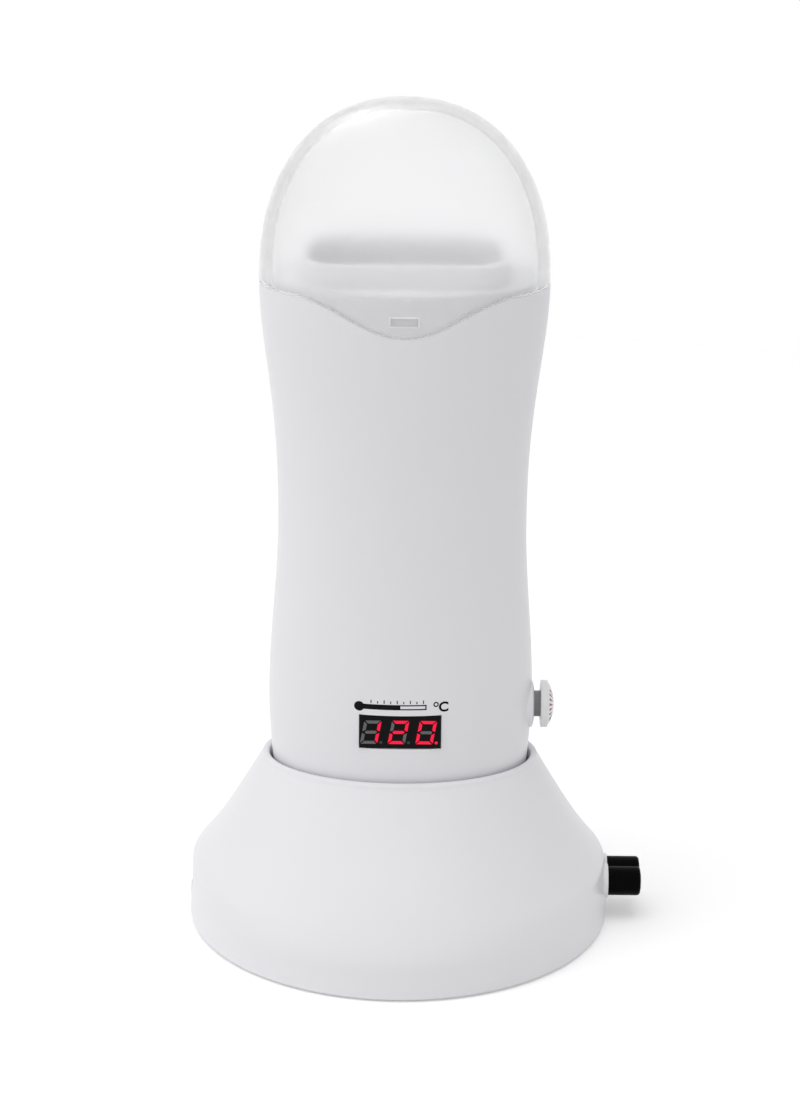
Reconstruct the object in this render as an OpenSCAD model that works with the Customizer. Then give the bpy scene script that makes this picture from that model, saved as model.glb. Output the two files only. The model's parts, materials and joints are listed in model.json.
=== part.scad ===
// Roll-on wax heater: a waisted oval handset with a frosted cap, standing in a flared docking stand.
// Millimetres. Z is up, the display faces -Y, the dial and the link plug are on +X.
// The origin is on the table, under the centre of the stand.

/* [Handset] */
// Half-width of the handset at the cap seam
brow_r = 39.3; // [38.5:0.1:41]
// Half-width of the handset at its waist
waist_r = 34.3; // [34:0.1:36]
// Half-width of the handset at its hip, above the stand
hip_r = 36.9; // [36.4:0.1:38]
// Half-width of the handset at its foot
foot_r = 34; // [33.4:0.1:35]
// Depth of every oval section as a share of its width
depth_ratio = 0.63; // [0.62:0.005:0.66]
// Height of the handset's foot above the table
foot_z = 20; // [20:0.5:22]
// Height of the hip above the table
hip_z = 67.5; // [64:0.5:71]
// Height of the waist above the table
waist_z = 118.5; // [112:0.5:124]
// Height of the cap seam above the table, at the sides
seam_z = 186.4; // [182:0.2:192]
// How late the brow swells above the waist
brow_lag = 1.38; // [1:0.02:1.6]
// Wall of the handset shells at the sides
shell_wall = 2.4; // [2:0.1:2.6]
// Radius round the handset's foot
foot_round = 3.5; // [2.5:0.5:4]

/* [Cap] */
// Top of the cap above the table
cap_top_z = 236.3; // [228:0.1:244]
// Fullness of the dome, 2 is an ellipse
dome_power = 2.25; // [2:0.05:2.6]
// Wall of the cap at the sides
cap_wall = 2; // [1.4:0.1:2.2]
// Depth of the tongue in the seam, front and back
tongue_depth = 9.6; // [6:0.1:11]
// Width of the tongue in the seam
tongue_w = 60; // [44:1:66]
// Gap between cap and handset
cap_gap = 0.5; // [0.4:0.05:0.7]
// Height of the deck above the seam
deck_rise = 1.8; // [1:0.1:3]
// Width of the catch slot in the neck
catch_w = 7.3; // [5:0.1:10]
// Height of the catch slot in the neck
catch_h = 2.2; // [1.5:0.1:3]

/* [Cartridge chamber] */
// Width of the space for a 100 ml roll-on cartridge
bore_w = 53.2; // [52:0.1:54]
// Depth of the space for the cartridge
bore_d = 28.4; // [27:0.1:29]
// Corner radius of the space for the cartridge
bore_corner = 9; // [8.5:0.25:11]
// Length of the space for the cartridge
bore_len = 104; // [90:1:112]
// Wall of the aluminium chamber
chamber_wall = 1; // [0.8:0.1:1.2]
// Height of the mouth above the deck
mouth_rise = 6.3; // [5:0.1:8]
// Wall of the mouth collar
collar_wall = 1.2; // [1:0.1:1.6]
// Width of each heater plate
heater_w = 26; // [20:1:30]
// Height of each heater plate
heater_h = 32; // [24:1:40]
// Thickness of each heater plate
heater_t = 2; // [1.5:0.1:2.4]

/* [Display] */
// Width of the display module
display_w = 22.5; // [20:0.1:24]
// Height of the display module
display_h = 9.8; // [9:0.1:12]
// Depth of the display module
display_d = 6.1; // [5.5:0.1:6.5]
// Height of the display's centre above the table
display_z = 64.1; // [60:0.1:68]
// How far the display's face lies behind the front of the oval
display_sink = 0.5; // [0.3:0.1:1]
// Height of one digit
digit_h = 6.9; // [6:0.1:7.5]
// Width of one digit
digit_w = 3.9; // [3.4:0.1:4.4]
// Distance from digit to digit
digit_pitch = 7.62; // [7.4:0.01:7.8]
// Slant of the digits in degrees
digit_slant = 10; // [0:1:12]
// Width of a segment's stroke
stroke_w = 0.95; // [0.8:0.05:1.1]

/* [Dial] */
// Diameter of the dial knob
knob_d = 13.6; // [12:0.1:15]
// Thickness of the dial knob
knob_t = 3.9; // [3.5:0.1:5]
// Diameter of the dial's shaft
shaft_d = 7.3; // [6:0.1:8]
// Running clearance round the shaft
shaft_play = 0.06; // [0.02:0.01:0.09]
// Height of the dial's axis above the table
dial_z = 63.9; // [60:0.1:68]
// Diameter of the raised boss round the shaft
boss_d = 13.3; // [12:0.1:15]
// How far the boss stands proud of the oval
boss_proud = 0.9; // [0.5:0.1:1.5]
// Gap between boss and knob
knob_gap = 1.5; // [1:0.1:2.5]
// Diameter of the potentiometer behind the dial
pot_d = 14.6; // [13:0.1:15]

/* [Stand] */
// Radius of the stand at the table
stand_r = 59.4; // [58.6:0.1:61]
// Radius of the stand at its shoulder
shoulder_r = 58.7; // [58:0.1:59.6]
// Height of the shoulder
shoulder_z = 17.6; // [17:0.2:20]
// Height of the stand's rim
rim_z = 49.4; // [47:0.2:52]
// Wall of the rim outside the well
rim_wall = 1.2; // [1:0.1:2.4]
// Gap between handset and well at the sides
well_gap = 1.2; // [0.8:0.1:1.6]
// How hollow the flare is above the shoulder
flare_hollow = 0.11; // [0:0.01:0.2]
// Softness of the shoulder at the sides
soft_side = 1.2; // [0.6:0.1:4]
// Softness of the shoulder at the front
soft_front = 14; // [4:0.5:16]
// Wall of the stand
stand_wall = 2.2; // [1.8:0.1:2.6]
// Thickness of the well's floor
well_floor = 2; // [1.6:0.1:2.4]
// Thickness of the bottom plate
plate_t = 2.2; // [1.8:0.1:2.6]
// How far the feet stand out below the bottom plate
feet_proud = 0.5; // [0.3:0.1:1]
// Diameter of a foot
foot_d = 12; // [10:0.5:14]

/* [Connectors] */
// Radius of one lobe of the figure-eight plug
lobe_r = 4.15; // [4:0.05:4.3]
// Distance between the two lobes
lobe_pitch = 7; // [6.8:0.1:7.2]
// Distance between the two contacts
pin_pitch = 8.6; // [8.4:0.1:8.8]
// Diameter of a contact pin
pin_d = 2.36; // [2.3:0.01:2.4]
// Height of both connectors above the table
link_z = 11; // [10.8:0.1:11.4]
// How far the link plug stands out of the stand
link_len = 9.5; // [8:0.1:12]
// Depth of the mains inlet
inlet_depth = 12; // [10:0.5:13]
// Clearance round a connector in the stand's wall
link_gap = 0.2; // [0.1:0.05:0.3]
// Border of the pad round the link plug
pad_border = 0.8; // [0.6:0.1:1.4]
// How far the pad stands out of the stand's skirt
pad_proud = 1.3; // [0.8:0.1:2]
// Border of a connector's block round its two lobes
block_border = 1.8; // [1.4:0.1:2.4]
// Distance between the two docking contacts
dock_pitch = 24; // [20:0.5:28]
// Diameter of a docking plunger
plunger_d = 4; // [3.5:0.1:4.5]
// Travel of a docking plunger
plunger_travel = 1.5; // [1:0.1:2]

/* [Board] */
// Thickness of the circuit board
board_t = 1.6; // [1.2:0.1:2]
// Width of the circuit board
board_w = 40; // [36:1:42]
// How far the board reaches above the display's centre
board_up = 19; // [17:1:22]
// How far the board reaches below the display's centre
board_down = 25; // [22:1:28]
// Width, depth and height of the relay
relay_size = [11, 9, 10]; // [6:1:12]
// Width, depth and height of the controller
controller_size = [10, 2.4, 8]; // [2:0.2:12]
// Width, depth and height of the regulator
regulator_size = [6, 4.4, 8]; // [2:0.2:12]
// Radius of the smoothing capacitor
capacitor_r = 4; // [3:0.5:5]
// Length of the smoothing capacitor
capacitor_len = 10; // [8:1:12]

/* [Hidden] */

$fn = 48;
oval_fn = 96;
rest_gap = 0.3;   // clearance between a piece and the one that it rests on, on another body
big = 200;

white = [0.93, 0.93, 0.94];
soft_white = [0.86, 0.86, 0.88];
black = [0.06, 0.06, 0.07];
metal = [0.75, 0.75, 0.77];
brass_tone = [0.80, 0.66, 0.36];

// ---------- outline functions ----------

// Smooth step from 0 to 1 with level ends.
function ease(t) = 3 * t * t - 2 * t * t * t;

// Half-width of the handset's outside at height z.
function body_r(z) =
  z < hip_z ? hip_r - (hip_r - foot_r) * ease((hip_z - z) / (hip_z - foot_z)) :
  z < waist_z ? waist_r + (hip_r - waist_r) * ease((waist_z - z) / (waist_z - hip_z)) :
  waist_r + (brow_r - waist_r) * ease(pow(min(1, (z - waist_z) / (seam_z - waist_z)), brow_lag));

// Half-depth of the handset's outside at height z and distance x from the middle.
function body_y(z, x = 0) = depth_ratio * sqrt(max(0, body_r(z) * body_r(z) - x * x));

// Height of the cap seam at distance x from the middle: a level line with a cosine tongue.
function seam_at(x) =
  abs(x) > tongue_w / 2 ? seam_z : seam_z - tongue_depth * (1 + cos(360 * x / tongue_w)) / 2;

// Half-width of a dome of half-width r and height h, at height t above its base.
function dome_r(r, h, t) = r * pow(max(0, 1 - pow(t / h, dome_power)), 1 / dome_power);

// Smooth lesser of two lengths, rounded over the softness k.
function soft_min(a, b, k) =
  let (h = min(1, max(0, 0.5 + 0.5 * (b - a) / k))) b * (1 - h) + a * h - k * h * (1 - h);

// Share of the stand's flare at height z: 0 at the rim, 1 at the shoulder.
function flare(z) =
  let (t = max(0, (rim_z - z) / (rim_z - shoulder_z)))
  (1 - flare_hollow) * t + flare_hollow * pow(t, 4.5);

// Half-width of the stand at height z along one axis, from its rim and its softness.
function stand_half(z, rim, softness) =
  soft_min(
    rim + (shoulder_r - rim) * flare(z),
    stand_r - (stand_r - shoulder_r) * pow(z / shoulder_z, 2),
    softness
  );

// Points of a rectangle with round corners.
function round_rect(w, d, r, steps = 8) = [
  for (q = [0:3], i = [0:steps])
    let (a = 90 * q + 90 * i / steps, sx = (q == 0 || q == 3) ? 1 : -1, sy = q < 2 ? 1 : -1)
    [sx * (w / 2 - r) + r * cos(a), sy * (d / 2 - r) + r * sin(a)]
];

// Heights from z0 to z1 in equal steps.
function rungs(z0, z1, n) = [for (i = [0:n]) z0 + (z1 - z0) * i / n];

// ---------- derived sizes ----------

well_floor_z = foot_z - rest_gap;
well_under_z = well_floor_z - well_floor;
rim_a = body_r(rim_z) + well_gap + rim_wall;
rim_b = (body_r(rim_z) + well_gap) * depth_ratio + rim_wall * 1.5;
plate_top = feet_proud + plate_t;
inner_sides = 48;
plate_r = (stand_half(plate_top, rim_b, soft_front) - stand_wall) * cos(180 / inner_sides) - 0.2;
neck_r = brow_r - cap_wall - cap_gap;
neck_wall = 2;
neck_foot_z = seam_z - tongue_depth - 8;
deck_z = seam_z + deck_rise;
deck_t = 1.8;
deck_r = neck_r - neck_wall - 0.1;
mouth_z = deck_z + mouth_rise;
lip_t = 1.2;
chamber_top = mouth_z - lip_t;
chamber_w = bore_w + 2 * chamber_wall;
chamber_d = bore_d + 2 * chamber_wall;
chamber_corner = bore_corner + chamber_wall;
chamber_foot = mouth_z - bore_len - chamber_wall;
collar_gap = 0.1;
collar_w = chamber_w + 2 * (collar_gap + collar_wall);
collar_d = chamber_d + 2 * (collar_gap + collar_wall);
collar_corner = chamber_corner + collar_gap + collar_wall;

face_y = -(body_y(display_z) - display_sink);
window_gap = 0.1;
board_gap = 2.2;
board_y = face_y + display_d + board_gap;
board_low = display_z - board_down;
board_high = min(display_z + board_up, chamber_foot - 2);
post_r = 2.4;
post_x = board_w / 2 - post_r * 1.6;
post_zs = [board_low + post_r * 1.8, board_high - post_r * 1.6];

boss_x = hip_r + boss_proud;
knob_back = boss_x + knob_gap;
pot_face = hip_r - shell_wall - 3;
pot_t = 9;
spindle_r = 3;
knob_wall = 1.2;
lug_pitch = 4;
lug_len = 5;

screw_r = 1.3;
head_r = 2.5;
head_t = 1.6;
tower_r = 3.8;
// Screw places on the handset: [x, z]
upper_tower = [bore_w / 2 + 5.4, seam_z - 14];
lower_tower = [25.5, foot_z + 16];
tower_spots = [for (s = [-1, 1], p = [upper_tower, lower_tower]) [s * p[0], p[1]]];
head_y = 6;
board_screw_r = 0.85;
board_screw_len = 3.5;
shell_screw_len = 14;
base_screw_len = 10;
heater_rise = 12;
fuse_r = 2;
fuse_len = 12;
lead_r = 0.4;
ledge_w = 1.4;
boss_edge = 0.7;
catch_z = seam_z - 5.2;
catch_deep = 1;
lip_round = 0.6;
segment_t = 0.12;
stroke_gap = 0.12;
pointer_turn = -13;

foot_open_r = foot_r - foot_round;
foot_flange = 1.8;
cover_seat = foot_z + foot_flange;
disc_sink = 0.8;
disc_r = 3.6;
disc_t = 0.8;
stem_r = 1;
stem_len = 6;
cover_t = 2;

block_w = lobe_pitch + 2 * (lobe_r + block_border);
block_h = 2 * (lobe_r + block_border * 0.8);
wall_half = min([for (s = [-1, 1]) stand_half(link_z + s * block_h / 2, rim_a, soft_side)]);
wall_x = (wall_half - stand_wall) * cos(180 / inner_sides);
pad_x = stand_half(link_z, rim_a, soft_side) + pad_proud;
socket_x = sqrt(wall_x * wall_x - block_w * block_w / 4) - rest_gap;
block_x = socket_x - inlet_depth - 2;
bar_t = 0.8;
bar_w = 3;
bar_z = link_z - block_h / 2 - 0.1 - bar_t;
dock_low = bar_z + bar_t;
dock_w = dock_pitch + 14;
dock_d = 16;
land_t = 3;
collar_t = 1;
plunger_collar_r = plunger_d / 2 + 1;
pocket_r = plunger_collar_r + 0.2;
plunger_tip = foot_z + disc_sink - rest_gap;
land_under = well_under_z - land_t;
well_wall = 1.6;
well_half = body_r(rim_z - 8) + well_gap + well_wall;
boss_r = 3.6;
boss_turn = 38;
boss_spots = [for (sx = [-1, 1], sy = [-1, 1])
  [sx * (well_half + 1.6) * cos(boss_turn), sy * (well_half * depth_ratio + 1.6) * sin(boss_turn)]];
cup_h = 3;
cup_r = 4.6;
foot_ring = 45;
foot_sunk = 1.1;
pin_len = 9.5;
sleeve_r = 1.65;

// ---------- shared shapes ----------

// Squashes a round shape to the handset's oval.
module oval() {
  scale([1, depth_ratio, 1]) children();
}

// Half of an outline turned round +Z and squashed, on the +Y side.
module half_oval(outline) {
  oval() rotate_extrude(angle = 180, $fn = oval_fn) polygon(outline);
}

// An outline turned round +Z and squashed to the handset's oval.
module full_oval(outline) {
  for (turn = [0, 180]) rotate([0, 0, turn]) half_oval(outline);
}

// A cylinder along +X from x0 to x1.
module rod_x(x0, x1, r, y = 0, z = 0) {
  translate([x0, y, z]) rotate([0, 90, 0]) cylinder(r = r, h = x1 - x0);
}

// A cylinder along +Y from y0 to y1.
module rod_y(y0, y1, r, x = 0, z = 0) {
  translate([x, y0, z]) rotate([-90, 0, 0]) cylinder(r = r, h = y1 - y0);
}

// A block between two corners.
module slab(low, high) {
  translate(low) cube(high - low);
}

// A stack of ovals: rings = [[z, half-width, half-depth], ...] from the bottom up.
module loft(rings, sides) {
  n = len(rings);
  points = [
    for (ring = rings, i = [0:sides - 1])
      [ring[1] * cos(360 * i / sides), ring[2] * sin(360 * i / sides), ring[0]]
  ];
  walls = [
    for (k = [0:n - 2], i = [0:sides - 1])
      let (j = (i + 1) % sides, a = k * sides)
      each [[a + i, a + sides + i, a + j], [a + j, a + sides + i, a + sides + j]]
  ];
  floor_face = [for (i = [0:sides - 1]) i];
  roof_face = [for (i = [sides - 1:-1:0]) (n - 1) * sides + i];
  polyhedron(points = points, faces = concat(walls, [floor_face, roof_face]), convexity = 6);
}

// A figure-eight prism along +X, with each lobe of radius r.
module eight_x(x0, x1, r) {
  for (s = [-1, 1]) rod_x(x0, x1, r, s * lobe_pitch / 2, link_z);
  slab([x0, -lobe_pitch / 2, link_z - r * 0.55], [x1, lobe_pitch / 2, link_z + r * 0.55]);
}

// Everything above the cap seam, lifted by the given gap.
module above_seam(lift = 0) {
  half = tongue_w / 2;
  line = [for (i = [0:24]) let (x = -half + tongue_w * i / 24) [x, seam_at(x) + lift]];
  rotate([90, 0, 0])
    linear_extrude(height = big, center = true)
      polygon(concat([[-big, seam_z + lift]], line, [[big, seam_z + lift], [big, big * 2], [-big, big * 2]]));
}

// A round-cornered tube or block of the cartridge's outline.
module cartridge_block(w, d, r, z0, z1) {
  translate([0, 0, z0]) linear_extrude(height = z1 - z0) polygon(round_rect(w, d, r));
}

// ---------- handset ----------

// Wall of one handset shell as an outline: outside up, inside down.
function shell_outline() =
  let (
    ring = [for (i = [0:4]) let (a = 90 * i / 4)
      [foot_r - foot_round + foot_round * sin(a), foot_z + foot_round * (1 - cos(a))]],
    up = [for (z = rungs(foot_z + foot_round + 4, seam_z, 26)) [body_r(z), z]],
    down = [for (z = rungs(seam_z, foot_z + foot_round + 4, 26)) [body_r(z) - shell_wall, z]]
  )
  concat(ring, up, down, [[foot_r - shell_wall, cover_seat], [foot_open_r, cover_seat]]);

// Outline of the neck that the cap slides over, with the ledge under the deck.
function neck_outline() =
  let (inside = neck_r - neck_wall)
  [
    [inside, neck_foot_z],
    [body_r(neck_foot_z) - shell_wall + 0.6, neck_foot_z],
    [neck_r, seam_z - tongue_depth - 1],
    [neck_r, deck_z - 0.6],
    [neck_r - 0.6, deck_z],
    [inside, deck_z],
    [inside, deck_z - deck_t],
    [inside - ledge_w, deck_z - deck_t],
    [inside - ledge_w, deck_z - deck_t - 1.4],
    [inside, deck_z - deck_t - 2.6]
  ];

// Half of the handset's wall, on the +Y side.
module half_wall() {
  difference() {
    half_oval(shell_outline());
    above_seam();
  }
  half_oval(neck_outline());
}

// The space inside the handset's skin, a little into the wall, on the +Y side.
module inside_skin() {
  half_oval(concat(
    [[0, foot_z + 4]],
    [for (z = rungs(foot_z + 4, seam_z - 2, 14)) [body_r(z) - 0.4, z]],
    [[0, seam_z - 2]]
  ));
}

// The round boss where the dial's shaft leaves the handset, inside and outside.
module dial_boss() {
  rod_x(pot_face, boss_x - boss_edge, boss_d / 2, 0, dial_z);
  translate([boss_x - boss_edge, 0, dial_z]) rotate([0, 90, 0])
    cylinder(r1 = boss_d / 2, r2 = boss_d / 2 - boss_edge, h = boss_edge);
}

// What stands inside a half shell: screw towers and the dial's boss, on the +Y side.
module half_inside() {
  intersection() {
    union() {
      for (p = tower_spots) rod_y(0, hip_r, tower_r, p[0], p[1]);
      children();
    }
    inside_skin();
  }
  intersection() {
    dial_boss();
    slab([0, 0, 0], [big, big, big]);
  }
}

// The hole for the dial's shaft.
module shaft_hole() {
  rod_x(pot_face - 1, boss_x + 1, shaft_d / 2 + shaft_play, 0, dial_z);
}

module front_shell() color(white) {
  difference() {
    mirror([0, 1, 0]) {
      half_wall();
      half_inside() for (sx = [-1, 1], z = post_zs) rod_y(-board_y, hip_r, post_r, sx * post_x, z);
    }
    shaft_hole();
    slab([-display_w / 2 - window_gap, -big / 2, display_z - display_h / 2 - window_gap],
      [display_w / 2 + window_gap, board_y, display_z + display_h / 2 + window_gap]);
    for (p = tower_spots) rod_y(head_y - shell_screw_len - 1, 1, screw_r, p[0], p[1]);
    for (sx = [-1, 1], z = post_zs)
      rod_y(board_y - board_screw_len - 0.5, board_y + 1, board_screw_r, sx * post_x, z);
    slab([-catch_w / 2, -big / 2, catch_z - catch_h / 2],
      [catch_w / 2, catch_deep - neck_r * depth_ratio, catch_z + catch_h / 2]);
  }
}

module rear_shell() color(white) {
  difference() {
    union() {
      half_wall();
      half_inside();
    }
    shaft_hole();
    for (p = tower_spots) {
      rod_y(-1, head_y + 1, screw_r + 0.2, p[0], p[1]);
      rod_y(head_y, hip_r, head_r + 0.3, p[0], p[1]);
    }
  }
}

module foot_cover() color(white) {
  difference() {
    full_oval([
      [0, foot_z],
      [foot_open_r - 0.15, foot_z],
      [foot_open_r - 0.15, cover_seat],
      [foot_r - shell_wall - 0.15, cover_seat],
      [foot_r - shell_wall - 0.15, cover_seat + cover_t],
      [0, cover_seat + cover_t]
    ]);
    for (s = [-1, 1]) translate([s * dock_pitch / 2, 0, foot_z - 1]) {
      cylinder(r = disc_r + 0.1, h = 1 + disc_sink + disc_t);
      cylinder(r = stem_r + 0.05, h = big);
    }
  }
}

module contact_discs() color(brass_tone) {
  for (s = [-1, 1]) translate([s * dock_pitch / 2, 0, foot_z + disc_sink]) {
    cylinder(r = disc_r, h = disc_t);
    cylinder(r = stem_r, h = stem_len);
  }
}

module mouth_collar() color(soft_white) {
  difference() {
    union() {
      full_oval([[0, deck_z - deck_t], [deck_r, deck_z - deck_t], [deck_r, deck_z], [0, deck_z]]);
      cartridge_block(collar_w, collar_d, collar_corner, deck_z - 1, mouth_z - lip_round);
      hull() {
        cartridge_block(collar_w, collar_d, collar_corner, mouth_z - lip_round - 0.1, mouth_z - lip_round);
        cartridge_block(collar_w - 2 * lip_round, collar_d - 2 * lip_round, collar_corner - lip_round,
          mouth_z - 0.1, mouth_z);
      }
    }
    cartridge_block(chamber_w + 2 * collar_gap, chamber_d + 2 * collar_gap,
      chamber_corner + collar_gap, deck_z - big, chamber_top);
    cartridge_block(bore_w, bore_d, bore_corner, deck_z, mouth_z + 1);
  }
}

module cartridge_chamber() color(metal) {
  difference() {
    union() {
      cartridge_block(chamber_w, chamber_d, chamber_corner, chamber_foot, chamber_top);
      cartridge_block(chamber_w + 2, chamber_d + 2, chamber_corner + 1,
        deck_z - deck_t - 1.2, deck_z - deck_t);
    }
    cartridge_block(bore_w, bore_d, bore_corner, chamber_foot + chamber_wall, mouth_z + 1);
  }
}

module heater_plates() color([0.35, 0.35, 0.38]) {
  low = chamber_foot + heater_rise;
  for (s = [-1, 1])
    translate([-heater_w / 2, s > 0 ? chamber_d / 2 : -chamber_d / 2 - heater_t, low])
      cube([heater_w, heater_t, heater_h]);
}

module thermal_fuse() color([0.8, 0.78, 0.7]) {
  fuse_y = -chamber_d / 2 - fuse_r;
  fuse_z = chamber_foot + heater_rise / 2;
  rod_x(-fuse_len / 2, fuse_len / 2, fuse_r, fuse_y, fuse_z);
  rod_x(-fuse_len, fuse_len, lead_r, fuse_y, fuse_z);
}

module control_board() color([0.10, 0.35, 0.20]) {
  difference() {
    slab([-board_w / 2, board_y, board_low], [board_w / 2, board_y + board_t, board_high]);
    for (sx = [-1, 1], z = post_zs)
      rod_y(board_y - 1, board_y + board_t + 1, board_screw_r + 0.2, sx * post_x, z);
    display_pins(0.1);
  }
}

// The display's pins in two rows, thicker by the given amount.
module display_pins(extra = 0) {
  for (i = [-2.5:2.5], s = [-1, 1])
    rod_y(face_y + display_d - 0.5 - extra, board_y + board_t + 1, 0.25 + extra,
      i * 2.54, display_z + s * (display_h / 2 - 1));
}

// A block on the back of the board, centred on x, standing on the height z.
module on_board(size, x, z) {
  translate([x - size[0] / 2, board_y + board_t, z]) cube(size);
}

module board_components() color([0.15, 0.15, 0.17]) {
  column = board_w / 5;
  low = board_low + post_r * 4;
  high = display_z + display_h / 2 + 0.5;
  rod_y(board_y + board_t, board_y + board_t + capacitor_len, capacitor_r, column, low + capacitor_r);
  on_board(relay_size, -column, low - 1);
  on_board(controller_size, -column, high);
  on_board(regulator_size, column, high);
}

module board_screws() color(metal) {
  y = board_y + board_t;
  for (sx = [-1, 1], z = post_zs) {
    rod_y(board_y - board_screw_len, y, board_screw_r - 0.05, sx * post_x, z);
    rod_y(y, y + board_screw_r * 1.4, board_screw_r * 1.9, sx * post_x, z);
  }
}

module display_module() color(black) {
  slab([-display_w / 2, face_y, display_z - display_h / 2],
    [display_w / 2, face_y + display_d, display_z + display_h / 2]);
  display_pins();
}

// Outline of a lying segment of length l, with pointed ends.
function stroke_points(l) =
  let (s = stroke_w / 2, h = l / 2 - stroke_gap)
  [[-h, 0], [s - h, s], [h - s, s], [h, 0], [h - s, -s], [s - h, -s]];

// Places of the seven segments of a digit: [x, z, angle, length].
function strokes() =
  let (w = digit_w, h = (digit_h - stroke_w) / 2)
  [
    [0, h, 0, w], [w / 2, h / 2, 90, h], [w / 2, -h / 2, 90, h], [0, -h, 0, w],
    [-w / 2, -h / 2, 90, h], [-w / 2, h / 2, 90, h], [0, 0, 0, w]
  ];

// The segments of the three digits that are lit or not, with their points.
module digits(lit) {
  shown = [[1, 2], [0, 1, 3, 4, 6], [0, 1, 2, 3, 4, 5]];
  for (d = [0:2]) translate([(d - 1) * digit_pitch - stroke_w / 2, face_y, display_z]) {
    for (k = [0:6]) if ((len(search(k, shown[d])) > 0) == lit) {
      p = strokes()[k];
      slanted = [for (q = stroke_points(p[3]))
        let (x = p[0] + q[0] * cos(p[2]) - q[1] * sin(p[2]), z = p[1] + q[0] * sin(p[2]) + q[1] * cos(p[2]))
        [x + z * tan(digit_slant), z]];
      rotate([90, 0, 0]) linear_extrude(height = segment_t) polygon(slanted);
    }
    if ((d == 2) == lit)
      translate([digit_w / 2 + stroke_w * 0.9, 0, -(digit_h - stroke_w) / 2])
        rotate([90, 0, 0]) cylinder(r = stroke_w / 2, h = segment_t);
  }
}

module segments_lit() color([0.95, 0.08, 0.22]) digits(true);

module segments_unlit() color([0.35, 0.35, 0.35]) digits(false);

module dial_potentiometer() color([0.2, 0.22, 0.25]) {
  difference() {
    union() {
      rod_x(pot_face - pot_t, pot_face, pot_d / 2, 0, dial_z);
      for (i = [-1:1])
        slab([pot_face - pot_t + 2, i * lug_pitch - 0.8, dial_z - pot_d / 2 - lug_len],
          [pot_face - pot_t + 2.6, i * lug_pitch + 0.8, dial_z - pot_d / 2 + 2]);
    }
    rod_x(pot_face - pot_t + 1, pot_face + 1, spindle_r + shaft_play, 0, dial_z);
  }
}

module shell_screws() color(metal) {
  for (p = tower_spots) {
    rod_y(head_y - shell_screw_len, head_y, screw_r - 0.05, p[0], p[1]);
    rod_y(head_y, head_y + head_t, head_r, p[0], p[1]);
  }
}

module dial_shaft() color([0.52, 0.52, 0.54]) {
  rod_x(pot_face - pot_t + 1.3, pot_face + 1, spindle_r, 0, dial_z);
  rod_x(pot_face + rest_gap, knob_back + knob_t - knob_wall - 1, shaft_d / 2, 0, dial_z);
}

module dial_knob() color(soft_white) {
  rim_t = knob_t * 0.48;
  dome_h = knob_t - rim_t;
  r = knob_d / 2;
  outline = concat(
    [[0, 0], [r - 0.3, 0], [r, 0.3]],
    [for (i = [0:10]) let (q = cos(9 * i)) [r * q, rim_t + dome_h * (1 - q * q)]]
  );
  translate([knob_back, 0, dial_z]) difference() {
    union() {
      rotate([0, 90, 0]) rotate_extrude() polygon(outline);
      rotate([pointer_turn, 0, 0]) slab([0.5, -r - 0.25, -0.3], [rim_t, -r + 1, 0.3]);
    }
    rod_x(-1, knob_t - knob_wall - 1, shaft_d / 2);
  }
}

// ---------- cap ----------

module cap_dome() color([0.95, 0.95, 0.97, 0.6]) {
  low = seam_z - tongue_depth - 1;
  h = cap_top_z - seam_z;
  steps = 16;
  outline = concat(
    [for (z = rungs(low, seam_z, 4)) [body_r(z), z]],
    [for (i = [1:steps]) let (t = h * sin(90 * i / steps)) [dome_r(brow_r, h, t), seam_z + t]],
    [for (i = [steps:-1:0]) let (t = (h - cap_wall) * sin(90 * i / steps))
      [dome_r(brow_r - cap_wall, h - cap_wall, t), seam_z + t]],
    [[brow_r - cap_wall, low]]
  );
  intersection() {
    full_oval(outline);
    above_seam(rest_gap);
  }
}

// ---------- stand ----------

// Rings of the stand's outside, drawn in by the given amount.
function stand_rings(heights, inset) = [
  for (z = heights)
    [z, stand_half(z, rim_a, soft_side) - inset, stand_half(z, rim_b, soft_front) - inset]
];

// The stand's outside as one solid, with a rounded rim.
module stand_outside() {
  foot_part = rungs(feet_proud, shoulder_z - 3.6, 3);
  shoulder_part = rungs(shoulder_z - 2.1, shoulder_z + 4, 6);
  flare_part = rungs(shoulder_z + 7, rim_z - 1.4, 9);
  top = stand_rings([rim_z - 0.7, rim_z - 0.2, rim_z], 0);
  loft(concat(
    stand_rings(concat(foot_part, shoulder_part, flare_part), 0),
    [for (i = [0:2]) let (drawn = [0.15, 0.5, 0.9][i]) [top[i][0], top[i][1] - drawn, top[i][2] - drawn]]
  ), 64);
}

// The well that the handset stands in, wider all round by extra, from z0 up.
module well(z0, z1, extra) {
  full_oval(concat(
    [[0, z0]],
    [for (z = rungs(z0, z1, 6)) [body_r(max(z, foot_z)) + well_gap + extra, z]],
    [[0, z1]]
  ));
}

module base_shell() color(white) {
  difference() {
    union() {
      difference() {
        stand_outside();
        difference() {
          loft(stand_rings(concat([feet_proud - 1, plate_top + 0.5, shoulder_z - 3],
            rungs(shoulder_z, rim_z - 7, 7)), stand_wall), inner_sides);
          well(well_under_z, rim_z, well_wall);
          for (p = boss_spots) translate([p[0], p[1], plate_top + cup_h]) cylinder(r = boss_r, h = 26);
        }
      }
      eight_x(wall_x, pad_x, lobe_r + pad_border);
    }
    well(well_floor_z, rim_z + 1, 0);
    for (s = [-1, 1]) translate([s * dock_pitch / 2, 0, well_under_z - 1])
      cylinder(r = plunger_d / 2 + rest_gap, h = well_floor + 2);
    for (s = [0, 180]) rotate([0, 0, s]) eight_x(socket_x - 1, pad_x + 1, lobe_r + link_gap);
    for (p = boss_spots) translate([p[0], p[1], 0])
      cylinder(r = screw_r + 0.1, h = plate_top + cup_h + base_screw_len);
  }
}

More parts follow.
